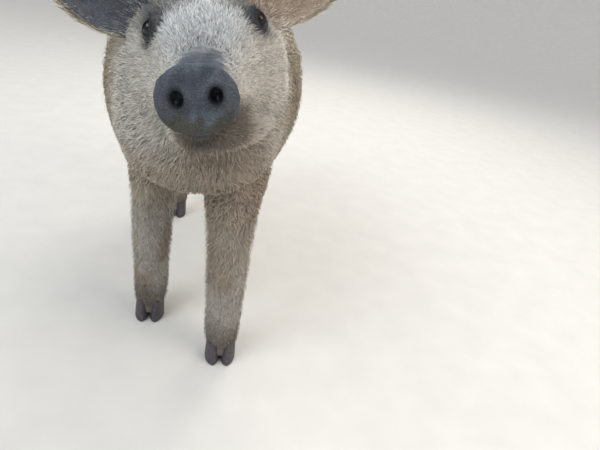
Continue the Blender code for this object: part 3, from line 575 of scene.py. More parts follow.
# How much of the dark, muddied hair of the chin and lower lip a place has.
def chinShare(points):
    x, y, z = toHead(points).T
    edge = patches(points, 0.014, 8) * 0.004
    below = -z + edge - 0.28 * np.maximum(0, y - 0.018)
    return (1 - smooth(y + edge, 0.052, 0.082)) * smooth(below, -0.004, 0.012) * smooth(y, 0.010, 0.014)


# The markings, plus painted shade round the nostrils, the same for the skin and for the coat: each colour is mixed
# over those before it by its own share.
def coatColour(points):
    local = toHead(points)
    x, y, z = local.T
    side, outer, high = np.abs(x), np.abs(points[:, 0]), points[:, 2]
    behind = behindHead(points)

    # Trunk: darker on the back, browner below, in paler and darker patches.
    colour = mix(tint("wool"), tint("back"), 0.55 * smooth(high, 0.38, 0.46) * smooth(behind, 0.0, 0.1))
    colour = mix(colour, tint("belly"), 0.6 * smooth(-high, -0.32, -0.25))
    colour = mix(colour, tint("woolPale"), 0.5 + 0.9 * patches(points, 0.09, 3))

    # Legs: greyer, with stains, dark above the claws.
    low = 1 - smooth(high + 0.03 * patches(points, 0.05, 12), 0.13, 0.27)
    colour = mix(colour, tint("leg"), low)
    stain = smooth(patches(points * np.array([1, 1, 0.5]), 0.05, 9), 0.05, 0.5) * low
    colour = mix(colour, tint("legStain"), 0.55 * stain)
    muddy = 1 - smooth(high + 0.012 * patches(points, 0.03, 13), 0.035, 0.085)
    colour = mix(colour, tint("pastern"), 0.85 * muddy)

    # Face: pale, with a white forehead and a brown throat.
    face = mix(tint("muzzle"), tint("cheek"), smooth(y, 0.10, 0.19))
    crown = smooth(z - 0.25 * side, 0.004, 0.034)
    face = mix(face, tint("forehead"), crown * (1 - 0.65 * smooth(y, 0.135, 0.195)))
    face = mix(face, tint("throat"), 0.9 * smooth(-z - 0.35 * side, 0.010, 0.034) * smooth(y, 0.02, 0.05))
    colour = mix(colour, face, 1 - smooth(behind, -0.030, 0.035))

    # Neck: a pale ruff, a brown chest, and darker towards its outer sides.
    ruff = smooth(side, 0.024, 0.050) * (1 - smooth(behind, 0.02, 0.10)) * smooth(high, 0.25, 0.33)
    colour = mix(colour, tint("cheek"), 0.9 * ruff * (1 - 0.8 * smooth(outer, 0.064, 0.096)))
    chest = (1 - smooth(points[:, 1], -0.02, 0.07)) * (1 - smooth(high, 0.27, 0.34)) * smooth(high, 0.10, 0.24)
    colour = mix(colour, tint("throat"), 0.75 * chest)
    flank = smooth(outer, 0.074, 0.098) * smooth(behind, -0.03, 0.02) * (1 - smooth(behind, 0.08, 0.20))
    colour = mix(colour, tint("back"), 0.75 * flank)

    # Chin, temples and eyes are dark, and the bare snout is slate with a muddy lower rim.
    colour = mix(colour, tint("chin"), chinShare(points))
    colour = mix(colour, tint("temple"), 0.8 * templeShare(points))
    colour = mix(colour, tint("eyeRim"), eyeShare(points))
    worn = 0.35 + 0.8 * patches(points, 0.019, 25) + 0.3 * smooth(y, 0.02, 0.06)
    slate = mix(tint("slate"), tint("slatePale"), worn)
    bare = bareShare(points)
    colour = mix(colour, slate, bare)
    muddy = bare * (1 - smooth(z, -0.016, 0.004)) * smooth(patches(points, 0.016, 21), -0.55, 0.25)
    colour = mix(colour, tint("mud"), 0.85 * muddy)
    # Painted shade: the colour is darkened in a ring round each nostril's edge, less at its middle, on the front of
    # the snout.
    ring = nostrilReach(local, "edge")
    nostrilShade = (1 - smooth(ring, 1.1, 1.9)) * (1 - 0.7 * (1 - smooth(ring, 0.2, 0.7)))
    return colour * (1 - 0.35 * nostrilShade * (y < 0.02))[:, None]


# A new material: itself, its nodes, its links and its shader.
def makeMaterial(name):
    material = bpy.data.materials.new(name)
    material.use_nodes = True
    nodes = material.node_tree.nodes
    return material, nodes, material.node_tree.links, nodes["Principled BSDF"]


# A node of this kind, with these values in its inputs.
def addNode(nodes, kind, **inputs):
    node = nodes.new(kind)
    for key, value in inputs.items():
        node.inputs[key].default_value = value
    return node


# Reads what is written on the points under this name.
def attributeNode(nodes, name):
    node = nodes.new("ShaderNodeAttribute")
    node.attribute_name = name
    return node


# Skin: the painted colour times a mottle, with relief from a warped net of creases and from the mottle itself;
# its roughness falls from 0.80 to 0.50 with the bare share, plus 0.22 of the mottle.
def skinMaterial():
    material, nodes, links, shader = makeMaterial("pig_skin")
    colour = attributeNode(nodes, "coatColour")
    bare = attributeNode(nodes, "bare")
    place = nodes.new("ShaderNodeTexCoord")
    mottle = addNode(nodes, "ShaderNodeTexNoise", Scale=260.0, Detail=6.0, Roughness=0.65)
    links.new(place.outputs["Object"], mottle.inputs["Vector"])
    shade = nodes.new("ShaderNodeMapRange")
    shade.inputs["To Min"].default_value, shade.inputs["To Max"].default_value = 0.55, 1.45
    links.new(mottle.outputs["Fac"], shade.inputs["Value"])
    tinted = nodes.new("ShaderNodeVectorMath")
    tinted.operation = "SCALE"
    links.new(colour.outputs["Color"], tinted.inputs["Vector"])
    links.new(shade.outputs["Result"], tinted.inputs["Scale"])
    links.new(tinted.outputs["Vector"], shader.inputs["Base Color"])
    # A net of fine creases, warped by noise, over softer lumps
    warp = addNode(nodes, "ShaderNodeTexNoise", Scale=90.0, Detail=3.0)
    links.new(place.outputs["Object"], warp.inputs["Vector"])
    bent = nodes.new("ShaderNodeVectorMath")
    bent.operation = "MULTIPLY_ADD"
    bent.inputs[1].default_value = (0.006, 0.006, 0.006)
    links.new(warp.outputs["Color"], bent.inputs[0])
    links.new(place.outputs["Object"], bent.inputs[2])
    crease = addNode(nodes, "ShaderNodeTexVoronoi", Scale=400.0)
    crease.feature = "DISTANCE_TO_EDGE"
    links.new(bent.outputs["Vector"], crease.inputs["Vector"])
    groove = nodes.new("ShaderNodeMapRange")
    groove.inputs["From Max"].default_value = 0.22
    links.new(crease.outputs["Distance"], groove.inputs["Value"])
    net = addNode(nodes, "ShaderNodeBump", Strength=0.8, Distance=0.0009)
    links.new(groove.outputs["Result"], net.inputs["Height"])
    grain = addNode(nodes, "ShaderNodeBump", Strength=0.75, Distance=0.0009)
    links.new(mottle.outputs["Fac"], grain.inputs["Height"])
    links.new(net.outputs["Normal"], grain.inputs["Normal"])
    links.new(grain.outputs["Normal"], shader.inputs["Normal"])
    rough = nodes.new("ShaderNodeMapRange")
    rough.inputs["To Min"].default_value, rough.inputs["To Max"].default_value = 0.80, 0.50
    links.new(bare.outputs["Fac"], rough.inputs["Value"])
    damp = nodes.new("ShaderNodeMath")
    damp.operation = "MULTIPLY_ADD"
    damp.inputs[1].default_value = 0.22
    links.new(mottle.outputs["Fac"], damp.inputs[0])
    links.new(rough.outputs["Result"], damp.inputs[2])
    links.new(damp.outputs["Value"], shader.inputs["Roughness"])
    shader.inputs["Specular IOR Level"].default_value = 0.35
    return material


# Hair: the painted colour and a little sheen.
def hairMaterial():
    material, nodes, links, shader = makeMaterial("pig_coat")
    colour = attributeNode(nodes, "coatColour")
    links.new(colour.outputs["Color"], shader.inputs["Base Color"])
    shader.inputs["Roughness"].default_value = 0.62
    shader.inputs["Sheen Weight"].default_value = 0.12
    shader.inputs["Sheen Roughness"].default_value = 0.4
    shader.inputs["Specular IOR Level"].default_value = 0.35
    return material


# One colour c, run by noise from c times (1 - the noise share) to c times (1 + it), with relief from the same noise.
def plainMaterial(name, colour, roughness, noiseScale, noiseShare, bumpDistance, stretch=(1, 1, 1)):
    material, nodes, links, shader = makeMaterial(name)
    place = nodes.new("ShaderNodeTexCoord")
    spread = nodes.new("ShaderNodeMapping")
    spread.inputs["Scale"].default_value = stretch
    noise = addNode(nodes, "ShaderNodeTexNoise", Scale=noiseScale, Detail=5.0)
    links.new(place.outputs["Object"], spread.inputs["Vector"])
    links.new(spread.outputs["Vector"], noise.inputs["Vector"])
    ramp = nodes.new("ShaderNodeValToRGB")
    ramp.color_ramp.elements[0].position, ramp.color_ramp.elements[1].position = 0.3, 0.72
    ramp.color_ramp.elements[0].color = (*[c * (1 - noiseShare) for c in colour], 1)
    ramp.color_ramp.elements[1].color = (*[min(1, c * (1 + noiseShare)) for c in colour], 1)
    links.new(noise.outputs["Fac"], ramp.inputs["Fac"])
    links.new(ramp.outputs["Color"], shader.inputs["Base Color"])
    bump = addNode(nodes, "ShaderNodeBump", Strength=0.5, Distance=bumpDistance)
    links.new(noise.outputs["Fac"], bump.inputs["Height"])
    links.new(bump.outputs["Normal"], shader.inputs["Normal"])
    shader.inputs["Roughness"].default_value = roughness
    return material


skinLooks = skinMaterial()
coatLooks = hairMaterial()


# A piece stands in the row frame with its points moved there and rides on the one body, and any named parts are
# hidden.
def place(obj, slotName, *nodes):
    points = np.empty(len(obj.data.vertices) * 3, np.float32)
    obj.data.vertices.foreach_get("co", points)
    moved = points.reshape(-1, 3) + shift.astype(np.float32)
    obj.data.vertices.foreach_set("co", moved.ravel())
    obj.data.update()
    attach(obj, "root")
    if nodes:
        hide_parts(*nodes)


# How far inside a nostril a place of the carved skin lies.
def pitShare(points):
    local = toHead(points)
    inside = 1 - smooth(nostrilReach(local, "pit"), 0.75, 1.05)
    return inside * smooth(local[:, 1], 0.0028, 0.0060) * (1 - smooth(local[:, 1], 0.022, 0.026))


fleshNodes = ["snout", "head", "lower_jaw", "neck", "shoulders", "barrel", "hindquarters", "tail", *pig["feet"]]
skinBare = bareShare(skinPoints)
# The skin under the hair is darker than the hair, and painted shade darkens the pits of the nostrils most.
skinToneAndPitShade = (0.72 + 0.28 * skinBare) * (1 - 0.42 * pitShare(skinPoints))
paintPoints(skin.data, "coatColour", coatColour(skinPoints) * skinToneAndPitShade[:, None])
paintValues(skin.data, "bare", skinBare)
skin.data.materials.clear()
skin.data.materials.append(skinLooks)


# The eye's colours by the share of a right angle from its axis: pupil, iris, dark ring and the edge of the white.
def eyeMaterial():
    material, nodes, links, shader = makeMaterial("pig_eye")
    polar = attributeNode(nodes, "polar")
    ramp = nodes.new("ShaderNodeValToRGB")
    stops = [(0.0, (0.002, 0.002, 0.003)), (0.24, (0.002, 0.002, 0.003)), (0.30, (0.008, 0.005, 0.003)),
             (0.54, (0.014, 0.009, 0.006)), (0.60, (0.006, 0.005, 0.005)), (0.80, (0.07, 0.05, 0.045))]
    elements = ramp.color_ramp.elements
    while len(elements) < len(stops):
        elements.new(0.5)
    for element, (position, colour) in zip(elements, stops):
        element.position, element.color = position, (*colour, 1)
    links.new(polar.outputs["Fac"], ramp.inputs["Fac"])
    links.new(ramp.outputs["Color"], shader.inputs["Base Color"])
    shader.inputs["Roughness"].default_value = 0.06
    shader.inputs["Specular IOR Level"].default_value = 0.4
    streaks = addNode(nodes, "ShaderNodeTexNoise", Scale=900.0, Detail=4.0)
    where = nodes.new("ShaderNodeTexCoord")
    links.new(where.outputs["Object"], streaks.inputs["Vector"])
    relief = addNode(nodes, "ShaderNodeBump", Strength=0.03, Distance=0.0002)
    links.new(streaks.outputs["Fac"], relief.inputs["Height"])
    links.new(relief.outputs["Normal"], shader.inputs["Normal"])
    return material


eyeLooks = eyeMaterial()


# A ball whose radius grows by the cornea's height towards its axis.
def makeEye(side):
    centre, corner, up, out = eyes[side]
    polar = np.linspace(0.04, math.pi - 0.04, 40)
    turn = np.arange(48) * 2 * math.pi / 48
    p, t = np.meshgrid(polar, turn, indexing="ij")
    radius = eyeShape["radius"] + eyeShape["cornea"] * (1 - smooth(p, 0.30, 0.66))
    local = radius[..., None] * np.stack([np.sin(p) * np.cos(t), np.sin(p) * np.sin(t), np.cos(p)], -1)
    points, faces = ringMesh(centre + local @ np.array([corner, up, out]))
    obj = addObject("eyeball_" + side, points, faces, eyeLooks)
    angle = np.append(p.ravel(), [0.0, math.pi])
    paintValues(obj.data, "polar", angle / (math.pi / 2))
    place(obj, "eye", "eye_" + side)


# Half the opening's length, its height above and below, the lid's thickness, the reach of its outer edge, how far
# round the ball it bends, and at each share of the way out its lift over the ball
lidLook = {
    "opening": (0.0090, 0.0060, 0.0048), "thick": 0.0010, "outer": 0.0132, "bend": 1.25, "power": 1.55,
    "steps": [(0.0, -0.0004), (0.0, 0.0006), (0.03, 0.0010), (0.10, 0.00115), (0.2, 0.0010),
              (0.35, 0.0010), (0.5, 0.0009), (0.7, 0.0008), (0.85, 0.0), (1.0, -0.0012)],
}


# Reach of the opening at a turn: a superellipse, higher above the corners than below them.
def almond(turn):
    long, above, below = lidLook["opening"]
    c, s = np.cos(turn), np.sin(turn)
    high, power = np.where(s > 0, above, below), lidLook["power"]
    return 1.0 / np.sqrt((np.abs(c) / long) ** power + (np.abs(s) / high) ** power) ** (2 / power)


# A lid ring starts on the ball at the almond opening, rolls over a rim and runs out under the skin.
def makeLids(side):
    centre, corner, up, out = eyes[side]
    turn = np.arange(72) * 2 * math.pi / 72
    inner = almond(turn)
    ball = eyeShape["radius"]
    edge = ball * math.sin(lidLook["bend"])
    rings = []
    for share, lift in lidLook["steps"]:
        flat = inner + (lidLook["outer"] - inner) * share
        angle = np.minimum(flat / ball, lidLook["bend"])
        radius = ball + lift
        folded = radius + 0.0004 * math.sin(share * 18) * (np.sin(turn) > -0.2)
        around = [np.sin(angle) * np.cos(turn) * folded, np.sin(angle) * np.sin(turn) * folded]
        local = np.stack([*around, np.cos(angle) * radius], -1)
        if share > 0.5:
            local[:, :2] *= (np.maximum(flat, edge) / edge)[:, None]
        rings.append(centre + local @ np.array([corner, up, out]))
    points, faces = np.vstack(rings), ringFaces(len(rings), len(turn))
    a, b, c = points[faces[:, 0]], points[faces[:, 1]], points[faces[:, 2]]
    if np.einsum("ij,j->", np.cross(b - a, c - a), out) < 0:
        faces = faces[:, ::-1]
    obj = addObject("lids_" + side, points, faces.tolist(), skinLooks)
    outward = np.repeat([share for share, _ in lidLook["steps"]], len(turn))
    paler = 0.4 * smooth(outward, 0.1, 0.6) * (1 + 0.6 * patches(points, 0.006, 33))
    paintPoints(obj.data, "coatColour", mix(tint("eyeRim"), tint("temple"), paler))
    paintValues(obj.data, "bare", np.full(len(points), 0.8))
    arrays = meshArrays(obj.data)
    place(obj, "face")
    return arrays


lids = {}
for side in ("left", "right"):
    makeEye(side)
    lids[side] = makeLids(side)
print("stage: eyes and lids")

# Ears: a cupped leaf between two faces, thin at the rim, folded in at the root.
earShape = {
    "length": 0.125, "width": 0.078, "thick": 0.0032, "root": (0.665, math.radians(40)), "sunk": 0.016,
    "cup": 0.62, "droop": 0.020, "sweep": math.radians(3),
    # The left ear's inside has painted sunlight, and the right one has the plain inside colour
    "lift": {"left": math.radians(57), "right": math.radians(35)}, "inside": {"left": "earInsideSunlit", "right": "earInside"},
    "outline": [
        (0.0, 0.34), (0.12, 0.56), (0.28, 0.86), (0.46, 1.0), (0.64, 0.92), (0.82, 0.64), (0.93, 0.36), (0.98, 0.17),
        (1.0, 0.03),
    ],
}


# A point of the ear: its spine, plus the share across times the half width, plus a cup growing with its square.
def earSurface(side, share, across):
    sign = 1.0 if side == "left" else -1.0
    along, angle = earShape["root"]
    root, _, _ = surfaceFrame(forms["skull"], along, angle if side == "left" else math.pi - angle)
    lift, sweep = earShape["lift"][side], earShape["sweep"]
    axis = np.array([sign * math.cos(lift) * math.cos(sweep), -math.cos(lift) * math.sin(sweep), math.sin(lift)])
    hollow = np.array([0.0, -1.0, -0.30])
    hollow = unit(hollow - axis * (hollow @ axis))
    wide = unit(np.cross(axis, hollow))
    half = 0.5 * earShape["width"] * through(earShape["outline"], share)[:, 0]
    cup = earShape["cup"] * (1 - 0.62 * share) * half * (across**2 - 0.5)
    ripple = 0.0012 * np.sin(share * 11 + across * 2) * np.abs(across) ** 2
    spine = root - axis * earShape["sunk"] + axis * share[:, None] * (earShape["length"] + earShape["sunk"])
    spine = spine + hollow * (earShape["droop"] * share**2)[:, None]
    return spine + wide * (across * half)[:, None] + hollow * (cup + ripple)[:, None], hollow, axis, wide


# Thickness of the ear: thinner towards the rim by the cube of the share across, and towards the tip.
def earThickness(share, across):
    return earShape["thick"] * (0.30 + 0.70 * (1 - np.abs(across) ** 3)) * (1 - 0.5 * share)


# Two faces, half the ear's thickness either side of its middle, with two ridges inside and a wall round the rim.
def makeEar(side):
    rows, columns = 44, 25
    s, t = (grid.ravel() for grid in np.meshgrid(np.linspace(0, 1, rows), np.linspace(-1, 1, columns), indexing="ij"))
    middle, hollow, axis, wide = earSurface(side, s, t)
    half = hollow * (earThickness(s, t) / 2)[:, None]
    ridge = 0.0011 * np.exp(-(((t + 0.35) / 0.10) ** 2)) + 0.0009 * np.exp(-(((t - 0.2) / 0.08) ** 2))
    front, back = middle + half + hollow * (ridge * (1 - s))[:, None], middle - half
    n = rows * columns
    i, j = np.meshgrid(np.arange(rows - 1), np.arange(columns - 1), indexing="ij")
    quad = np.stack([i * columns + j, i * columns + j + 1, (i + 1) * columns + j + 1, (i + 1) * columns + j], -1)
    quad = quad.reshape(-1, 4)
    rim = list(range(columns)) + [k * columns + columns - 1 for k in range(1, rows)]
    rim += [(rows - 1) * columns + k for k in range(columns - 2, -1, -1)]
    rim += [k * columns for k in range(rows - 2, 0, -1)]
    points = np.vstack([front, back])
    a, b, c = points[quad[:, 0]], points[quad[:, 1]], points[quad[:, 2]]
    outward = np.einsum("ij,j->", np.cross(b - a, c - a), hollow) > 0
    frontFaces = quad if outward else quad[:, ::-1]
    backFaces = frontFaces[:, ::-1] + n
    edge = np.column_stack([rim, np.roll(rim, -1)])
    wall = np.stack([edge[:, 1], edge[:, 0], edge[:, 0] + n, edge[:, 1] + n], 1)
    if not outward:
        wall = wall[:, ::-1]
    obj = addObject("ear_skin_" + side, points, np.vstack([frontFaces, backFaces, wall]).tolist(), skinLooks)
    inside = np.r_[np.ones(n), np.zeros(n)]
    # The inside takes its side's tint, which on the left ear carries painted sunlight
    colour = mix(tint("earBack") * 0.8, tint(earShape["inside"][side]), inside)
    paintPoints(obj.data, "coatColour", colour * (1 + 0.25 * patches(points, 0.02, 14))[:, None])
    paintValues(obj.data, "bare", inside * 0.3)
    place(obj, "ear", "ear_" + side)


for side in ("left", "right"):
    makeEar(side)
print("stage: ears")

# Claws: pointed in front, rounded behind, flat below; dewclaws are small blunt cones. Each row of a claw has its
# height, its share of the length and width, and how far back it lies.
clawShape = {
    "length": 0.034, "width": 0.0205, "toeOut": math.radians(5),
    "rows": [
        (0.0, 0.90, 0.0), (0.0006, 0.95, 0.0), (0.002, 0.985, 0.0), (0.005, 0.99, 0.0006), (0.010, 0.965, 0.0018),
        (0.015, 0.935, 0.0026), (0.020, 0.90, 0.0036), (0.026, 0.86, 0.0046), (0.031, 0.80, 0.0055),
    ],
}


# Rings of a claw: the cosine across and the sine along, each to its own power and share, turned a little outwards.
def clawRings(foot, sign):
    turn = np.arange(32) * 2 * math.pi / 32
    s, c = np.sin(turn), np.cos(turn)
    flat = np.sign(c) * np.abs(c) ** np.where(s < 0, 1.25, 0.85)
    toeOut, width = -sign * clawShape["toeOut"], clawShape["width"]
    middle = sign * (0.5 * width + 0.0008)
    rings = []
    for height, share, back in clawShape["rows"]:
        x = flat * 0.5 * width * share
        y = s * np.where(s < 0, 0.60, 0.40) * clawShape["length"] * share + back - 0.005
        across = x * math.cos(toeOut) - y * math.sin(toeOut)
        along = x * math.sin(toeOut) + y * math.cos(toeOut)
        rings.append(np.stack([foot[0] + middle + across, foot[1] + along, np.full(32, height)], 1))
    return np.array(rings)


# Rings of a long ball, tipped by 28 degrees, behind and above its claw.
def dewclawRings(foot, sign):
    polar = np.linspace(0.15, math.pi - 0.15, 12)
    turn = np.arange(20) * 2 * math.pi / 20
    p, t = np.meshgrid(polar, turn, indexing="ij")
    local = np.stack([0.0058 * np.sin(p) * np.cos(t), 0.0062 * np.sin(p) * np.sin(t), 0.0125 * np.cos(p)], -1)
    tilt = np.array(Matrix.Rotation(math.radians(28), 3, "X"))
    return local @ tilt.T + np.array([foot[0] + sign * 0.0125, foot[1] + 0.0235, 0.038])


# All claws and dewclaws as one piece.
def makeClaws():
    shells, nodes = [], []
    for name, foot in pig["feet"].items():
        for sign in (-1, 1):
            shells += [ringMesh(clawRings(foot, sign)), ringMesh(dewclawRings(foot, sign))]
        nodes += [f"{kind}_{name}_{spot}" for kind in ("claw", "dewclaw") for spot in ("inner", "outer")]
    points, faces = gather(shells)
    looks = plainMaterial("pig_claw", (0.062, 0.054, 0.064), 0.48, 160.0, 0.45, 0.0005, (1, 1, 5))
    obj = addObject("claws", points, faces, looks)
    obj.data.set_sharp_from_angle(angle=math.radians(55))
    place(obj, "claw", *nodes)


makeClaws()
print("stage: claws")


# The unwrap of the skin's shape, in tiles: trunk and neck by the turn about their axis, the head by the turn
# about its own, each leg by the turn about its middle, the ears and the tail laid flat.
def unwrapped(points, kinds):
    u, v = np.zeros(len(points)), np.zeros(len(points))
    x, y, z = points.T
    body = kinds == 0
    u[body] = 0.01 + 0.58 * (np.arctan2(x[body], z[body] - 0.35) / (2 * math.pi) + 0.5)
    v[body] = 0.01 + 0.98 * (y[body] + 0.10) / 0.68
    a, b, c = toHead(points).T
    front = kinds == 1
    u[front] = 0.61 + 0.37 * (np.arctan2(a[front], c[front]) / (2 * math.pi) + 0.5)
    v[front] = 0.51 + 0.47 * np.clip(b[front] / 0.27, 0, 1)
    for k, (name, foot) in enumerate(pig["feet"].items()):
        leg = kinds == 2 + k
        u[leg] = 0.61 + 0.09 * k + 0.085 * (np.arctan2(x[leg] - foot[0], y[leg] - foot[1]) / (2 * math.pi) + 0.5)
        v[leg] = 0.22 + 0.27 * np.clip(z[leg] / 0.30, 0, 1)
    for k in (6, 7, 8):
        flat = kinds == k
        u[flat] = 0.61 + 0.125 * (k - 6) + 0.11 * np.clip((np.abs(x[flat]) + 0.02) / 0.20, 0, 1)
        v[flat] = 0.01 + 0.19 * np.clip((z[flat] - 0.22) / 0.34, 0, 1)
    return np.stack([u, v], 1)


# The tile of a place: 0 the body, 1 the head, 2 to 5 the legs; 6 to 8 are the ears and the tail.
def kindOf(points):
    kinds = np.where(behindHead(points) < 0, 1, 0)
    for k, (x, y) in enumerate(pig["feet"].values()):
        near = (np.abs(points[:, 0] - x) < 0.05) & (np.abs(points[:, 1] - y) < 0.10)
        kinds[(points[:, 2] < 0.235) & near] = 2 + k
    return kinds


# Places spread over triangles in proportion to their area times the wanted density at their middles.
def scatter(points, normals, corners, count, density):
    a, b, c = points[corners].transpose(1, 0, 2)
    weight = np.linalg.norm(np.cross(b - a, c - a), axis=1) * density((a + b + c) / 3)
    picked = chance.choice(len(corners), int(count), p=weight / weight.sum())
    u, v = chance.random((2, int(count), 1))
    u, v = np.where(u + v > 1, 1 - u, u), np.where(u + v > 1, 1 - v, v)
    share = np.stack([1 - u - v, u, v], axis=1)
    return (points[corners[picked]] * share).sum(1), unit((normals[corners[picked]] * share).sum(1))


# One piece of the coat: its points, triangles, colours and unwrap, put into a mesh as whole arrays.
def tuftPiece(name, slotName, points, faces, colours, spots):
    mesh = bpy.data.meshes.new(name)
    mesh.vertices.add(len(points))
    mesh.vertices.foreach_set("co", points.astype(np.float32).ravel())
    mesh.loops.add(faces.size)
    mesh.loops.foreach_set("vertex_index", faces.astype(np.int32).ravel())
    mesh.polygons.add(len(faces))
    mesh.polygons.foreach_set("loop_start", np.arange(0, faces.size, 3, dtype=np.int32))
    mesh.update(calc_edges=True)
    mesh.shade_smooth()
    paintPoints(mesh, "coatColour", np.clip(colours, 0, 1))
    layer = mesh.uv_layers.new(name="OFBake")
    layer.data.foreach_set("uv", spots[faces.ravel()].astype(np.float32).ravel())
    mesh.materials.append(coatLooks)
    obj = bpy.data.objects.new(name, mesh)
    bpy.context.scene.collection.objects.link(obj)
    place(obj, slotName)


# Triangles of one tuft: a cap at the root, walls between its three-cornered stations, and a fan to its point.
def tuftFaces(stations):
    faces = [(0, 2, 1)]
    for k in range(stations - 1):
        for i in range(3):
            j = (i + 1) % 3
            faces += [(3 * k + i, 3 * k + j, 3 * k + 3 + j), (3 * k + i, 3 * k + 3 + j, 3 * k + 3 + i)]
    last, tip = 3 * (stations - 1), 3 * stations
    faces += [(last, last + 1, tip), (last + 1, last + 2, tip), (last + 2, last, tip)]
    return np.array(faces)


# A tuft rises by lift times its length while it runs along the lie, waves sideways and curls about its path,
# and narrows from its root to one point; its section is a flattened triangle.
def tuftMeshes(roots, normals, lies, look, colours, kinds):
    n, stations = len(roots), look["stations"]
    lies = unit(lies - normals * np.einsum("ij,ij->i", lies, normals)[:, None])
    length, width, lift = look["length"], look["width"], look["lift"]
    phase = chance.uniform(0, 2 * math.pi, n)
    hand = chance.choice([-1.0, 1.0], n)
    s = np.linspace(0, 1, stations + 1)[None, :, None]

    # One value for each tuft, to be multiplied along its stations.
    def each(values):
        return np.broadcast_to(values, n)[:, None, None]

    rise = each(lift * length) * (1 - (1 - s) ** 1.9) * (1 - look.get("droop", 0.0) * s**3)
    run = each(np.sqrt(np.maximum(0.05, 1 - lift**2)) * length) * s**1.35
    turn = each(phase) + each(hand) * 2 * math.pi * look["turns"] * s
    sway = each(look["wave"] * length) * (np.cos(turn) - np.cos(each(phase))) * s**0.6
    bob = each(look["wave"] * length) * 0.6 * np.sin(turn) * s
    outward, onward, across = normals[:, None], lies[:, None], np.cross(normals, lies)[:, None]
    centre = roots[:, None] + outward * (rise + bob - look["sunk"]) + onward * run + across * sway
    radius = 0.5 * each(width) * (1 - 0.86 * s**1.25) * (0.75 + 0.25 * np.sin(np.minimum(1, s * 3) * math.pi / 2))
    bend = np.clip(s * 1.2, 0, 1) * math.pi / 3
    up = outward * np.cos(bend) - onward * np.sin(bend)
    angle = np.array([math.pi / 2, math.pi * 7 / 6, math.pi * 11 / 6])[None, None, :, None]
    section = across[:, :, None] * np.cos(angle) + up[:, :-1, None] * np.sin(angle) * look["flat"]
    ring = centre[:, :-1, None] + radius[:, :-1, None] * section
    points = np.concatenate([ring.reshape(n, -1, 3), centre[:, -1:]], axis=1)
    level = np.append(np.repeat(np.linspace(0, 1, stations + 1)[:-1], 3), 1.0)
    shade = look["rootShade"] + (look["tipShade"] - look["rootShade"]) * level
    tone = colours[:, None] * shade[None, :, None] * chance.uniform(*look["tones"], n)[:, None, None]
    corner = np.append(np.tile([0.0, -0.0012, 0.0012], stations), 0.0)
    spots = unwrapped(roots, kinds)[:, None] + np.stack([corner, 0.003 * level - 0.0015], -1)
    faces, per = tuftFaces(stations), 3 * stations + 1
    limit = 190000 // len(faces)  # a piece stays under 200,000 triangles
    for start in range(0, n, limit):
        part = slice(start, min(n, start + limit))
        moved = (faces[None] + (np.arange(part.stop - start) * per)[:, None, None]).reshape(-1, 3)
        arrays = (points[part].reshape(-1, 3), moved, tone[part].reshape(-1, 3), spots[part].reshape(-1, 2))
        tuftPiece(f"{look['name']}_{start // limit}", look["slot"], *arrays)
    print("stage:", look["name"], n, "tufts,", n * len(faces), "triangles")


# The lie of the coat: back and down the body, down the legs, back from the snout and fanning over the cheeks.
def coatLie(points, normals):
    n = len(points)
    body = np.stack([np.zeros(n), np.ones(n), -0.10 - 0.9 * np.abs(normals[:, 0])], 1)
    x, y, z = toHead(points).T
    spread = 0.25 * smooth(z, 0.0, 0.05) - 0.55 * smooth(-z, -0.01, 0.05)
    fan = np.stack([np.sign(x) * 0.45 * smooth(np.abs(x), 0.004, 0.05), np.full(n, 0.9), spread], 1)
    face = fan @ head[:3, :3].T
    lie = mix(face, body, smooth(behindHead(points), -0.03, 0.04))
    down = np.array([0.0, 0.28, -1.0])
    lie = mix(lie, down, 1 - smooth(points[:, 2], 0.20, 0.27))
    turn = 0.55 * patches(points, 0.035, 31) + chance.normal(0, 0.26, n)
    side = np.cross(normals, unit(lie))
    return unit(lie) * np.cos(turn)[:, None] + side * np.sin(turn)[:, None]


# Past the rump, where the tail has its own hair.
def isTail(points):
    return points[:, 1] > 0.527


# Grows the tufts of a look on places of the skin, along the lie of the coat.
def growOn(roots, normals, look, colours):
    tuftMeshes(roots, normals, coatLie(roots, normals), look, colours, kindOf(roots))


faceLook = {
    "name": "face_hair", "slot": "face", "stations": 2, "flat": 0.6, "turns": 0.3, "wave": 0.05, "sunk": 0.0008,
    "rootShade": 0.62, "tipShade": 1.12, "tones": (0.68, 1.26), "count": 41000,
}
foreLook = {
    "name": "neck_hair", "slot": "coat", "stations": 3, "flat": 0.6, "turns": 0.8, "wave": 0.12, "droop": 0.25,
    "sunk": 0.0012, "rootShade": 0.50, "tipShade": 1.12, "tones": (0.74, 1.22), "count": 21000,
}
woolLook = {
    "name": "wool", "slot": "coat", "stations": 5, "flat": 0.75, "turns": 1.25, "wave": 0.16, "droop": 0.38,
    "sunk": 0.0015, "rootShade": 0.54, "tipShade": 1.12, "tones": (0.76, 1.20), "count": 13500,
}
legLook = {
    "name": "leg_hair", "slot": "coat", "stations": 2, "flat": 0.6, "turns": 0.4, "wave": 0.07, "sunk": 0.0008,
    "rootShade": 0.62, "tipShade": 1.12, "tones": (0.72, 1.24), "count": 16500,
}


# How far a place is from the middle of the nearer eye's opening, 1 on its edge.
def eyeOpen(points):
    reach = np.full(len(points), 9.0)
    for eye in eyes.values():
        a, b, c = fromEye(points, eye)
        reach = np.minimum(reach, np.where(c > -0.006, ellipse(a, b, *eyeShape["gap"]), 9.0))
    return reach


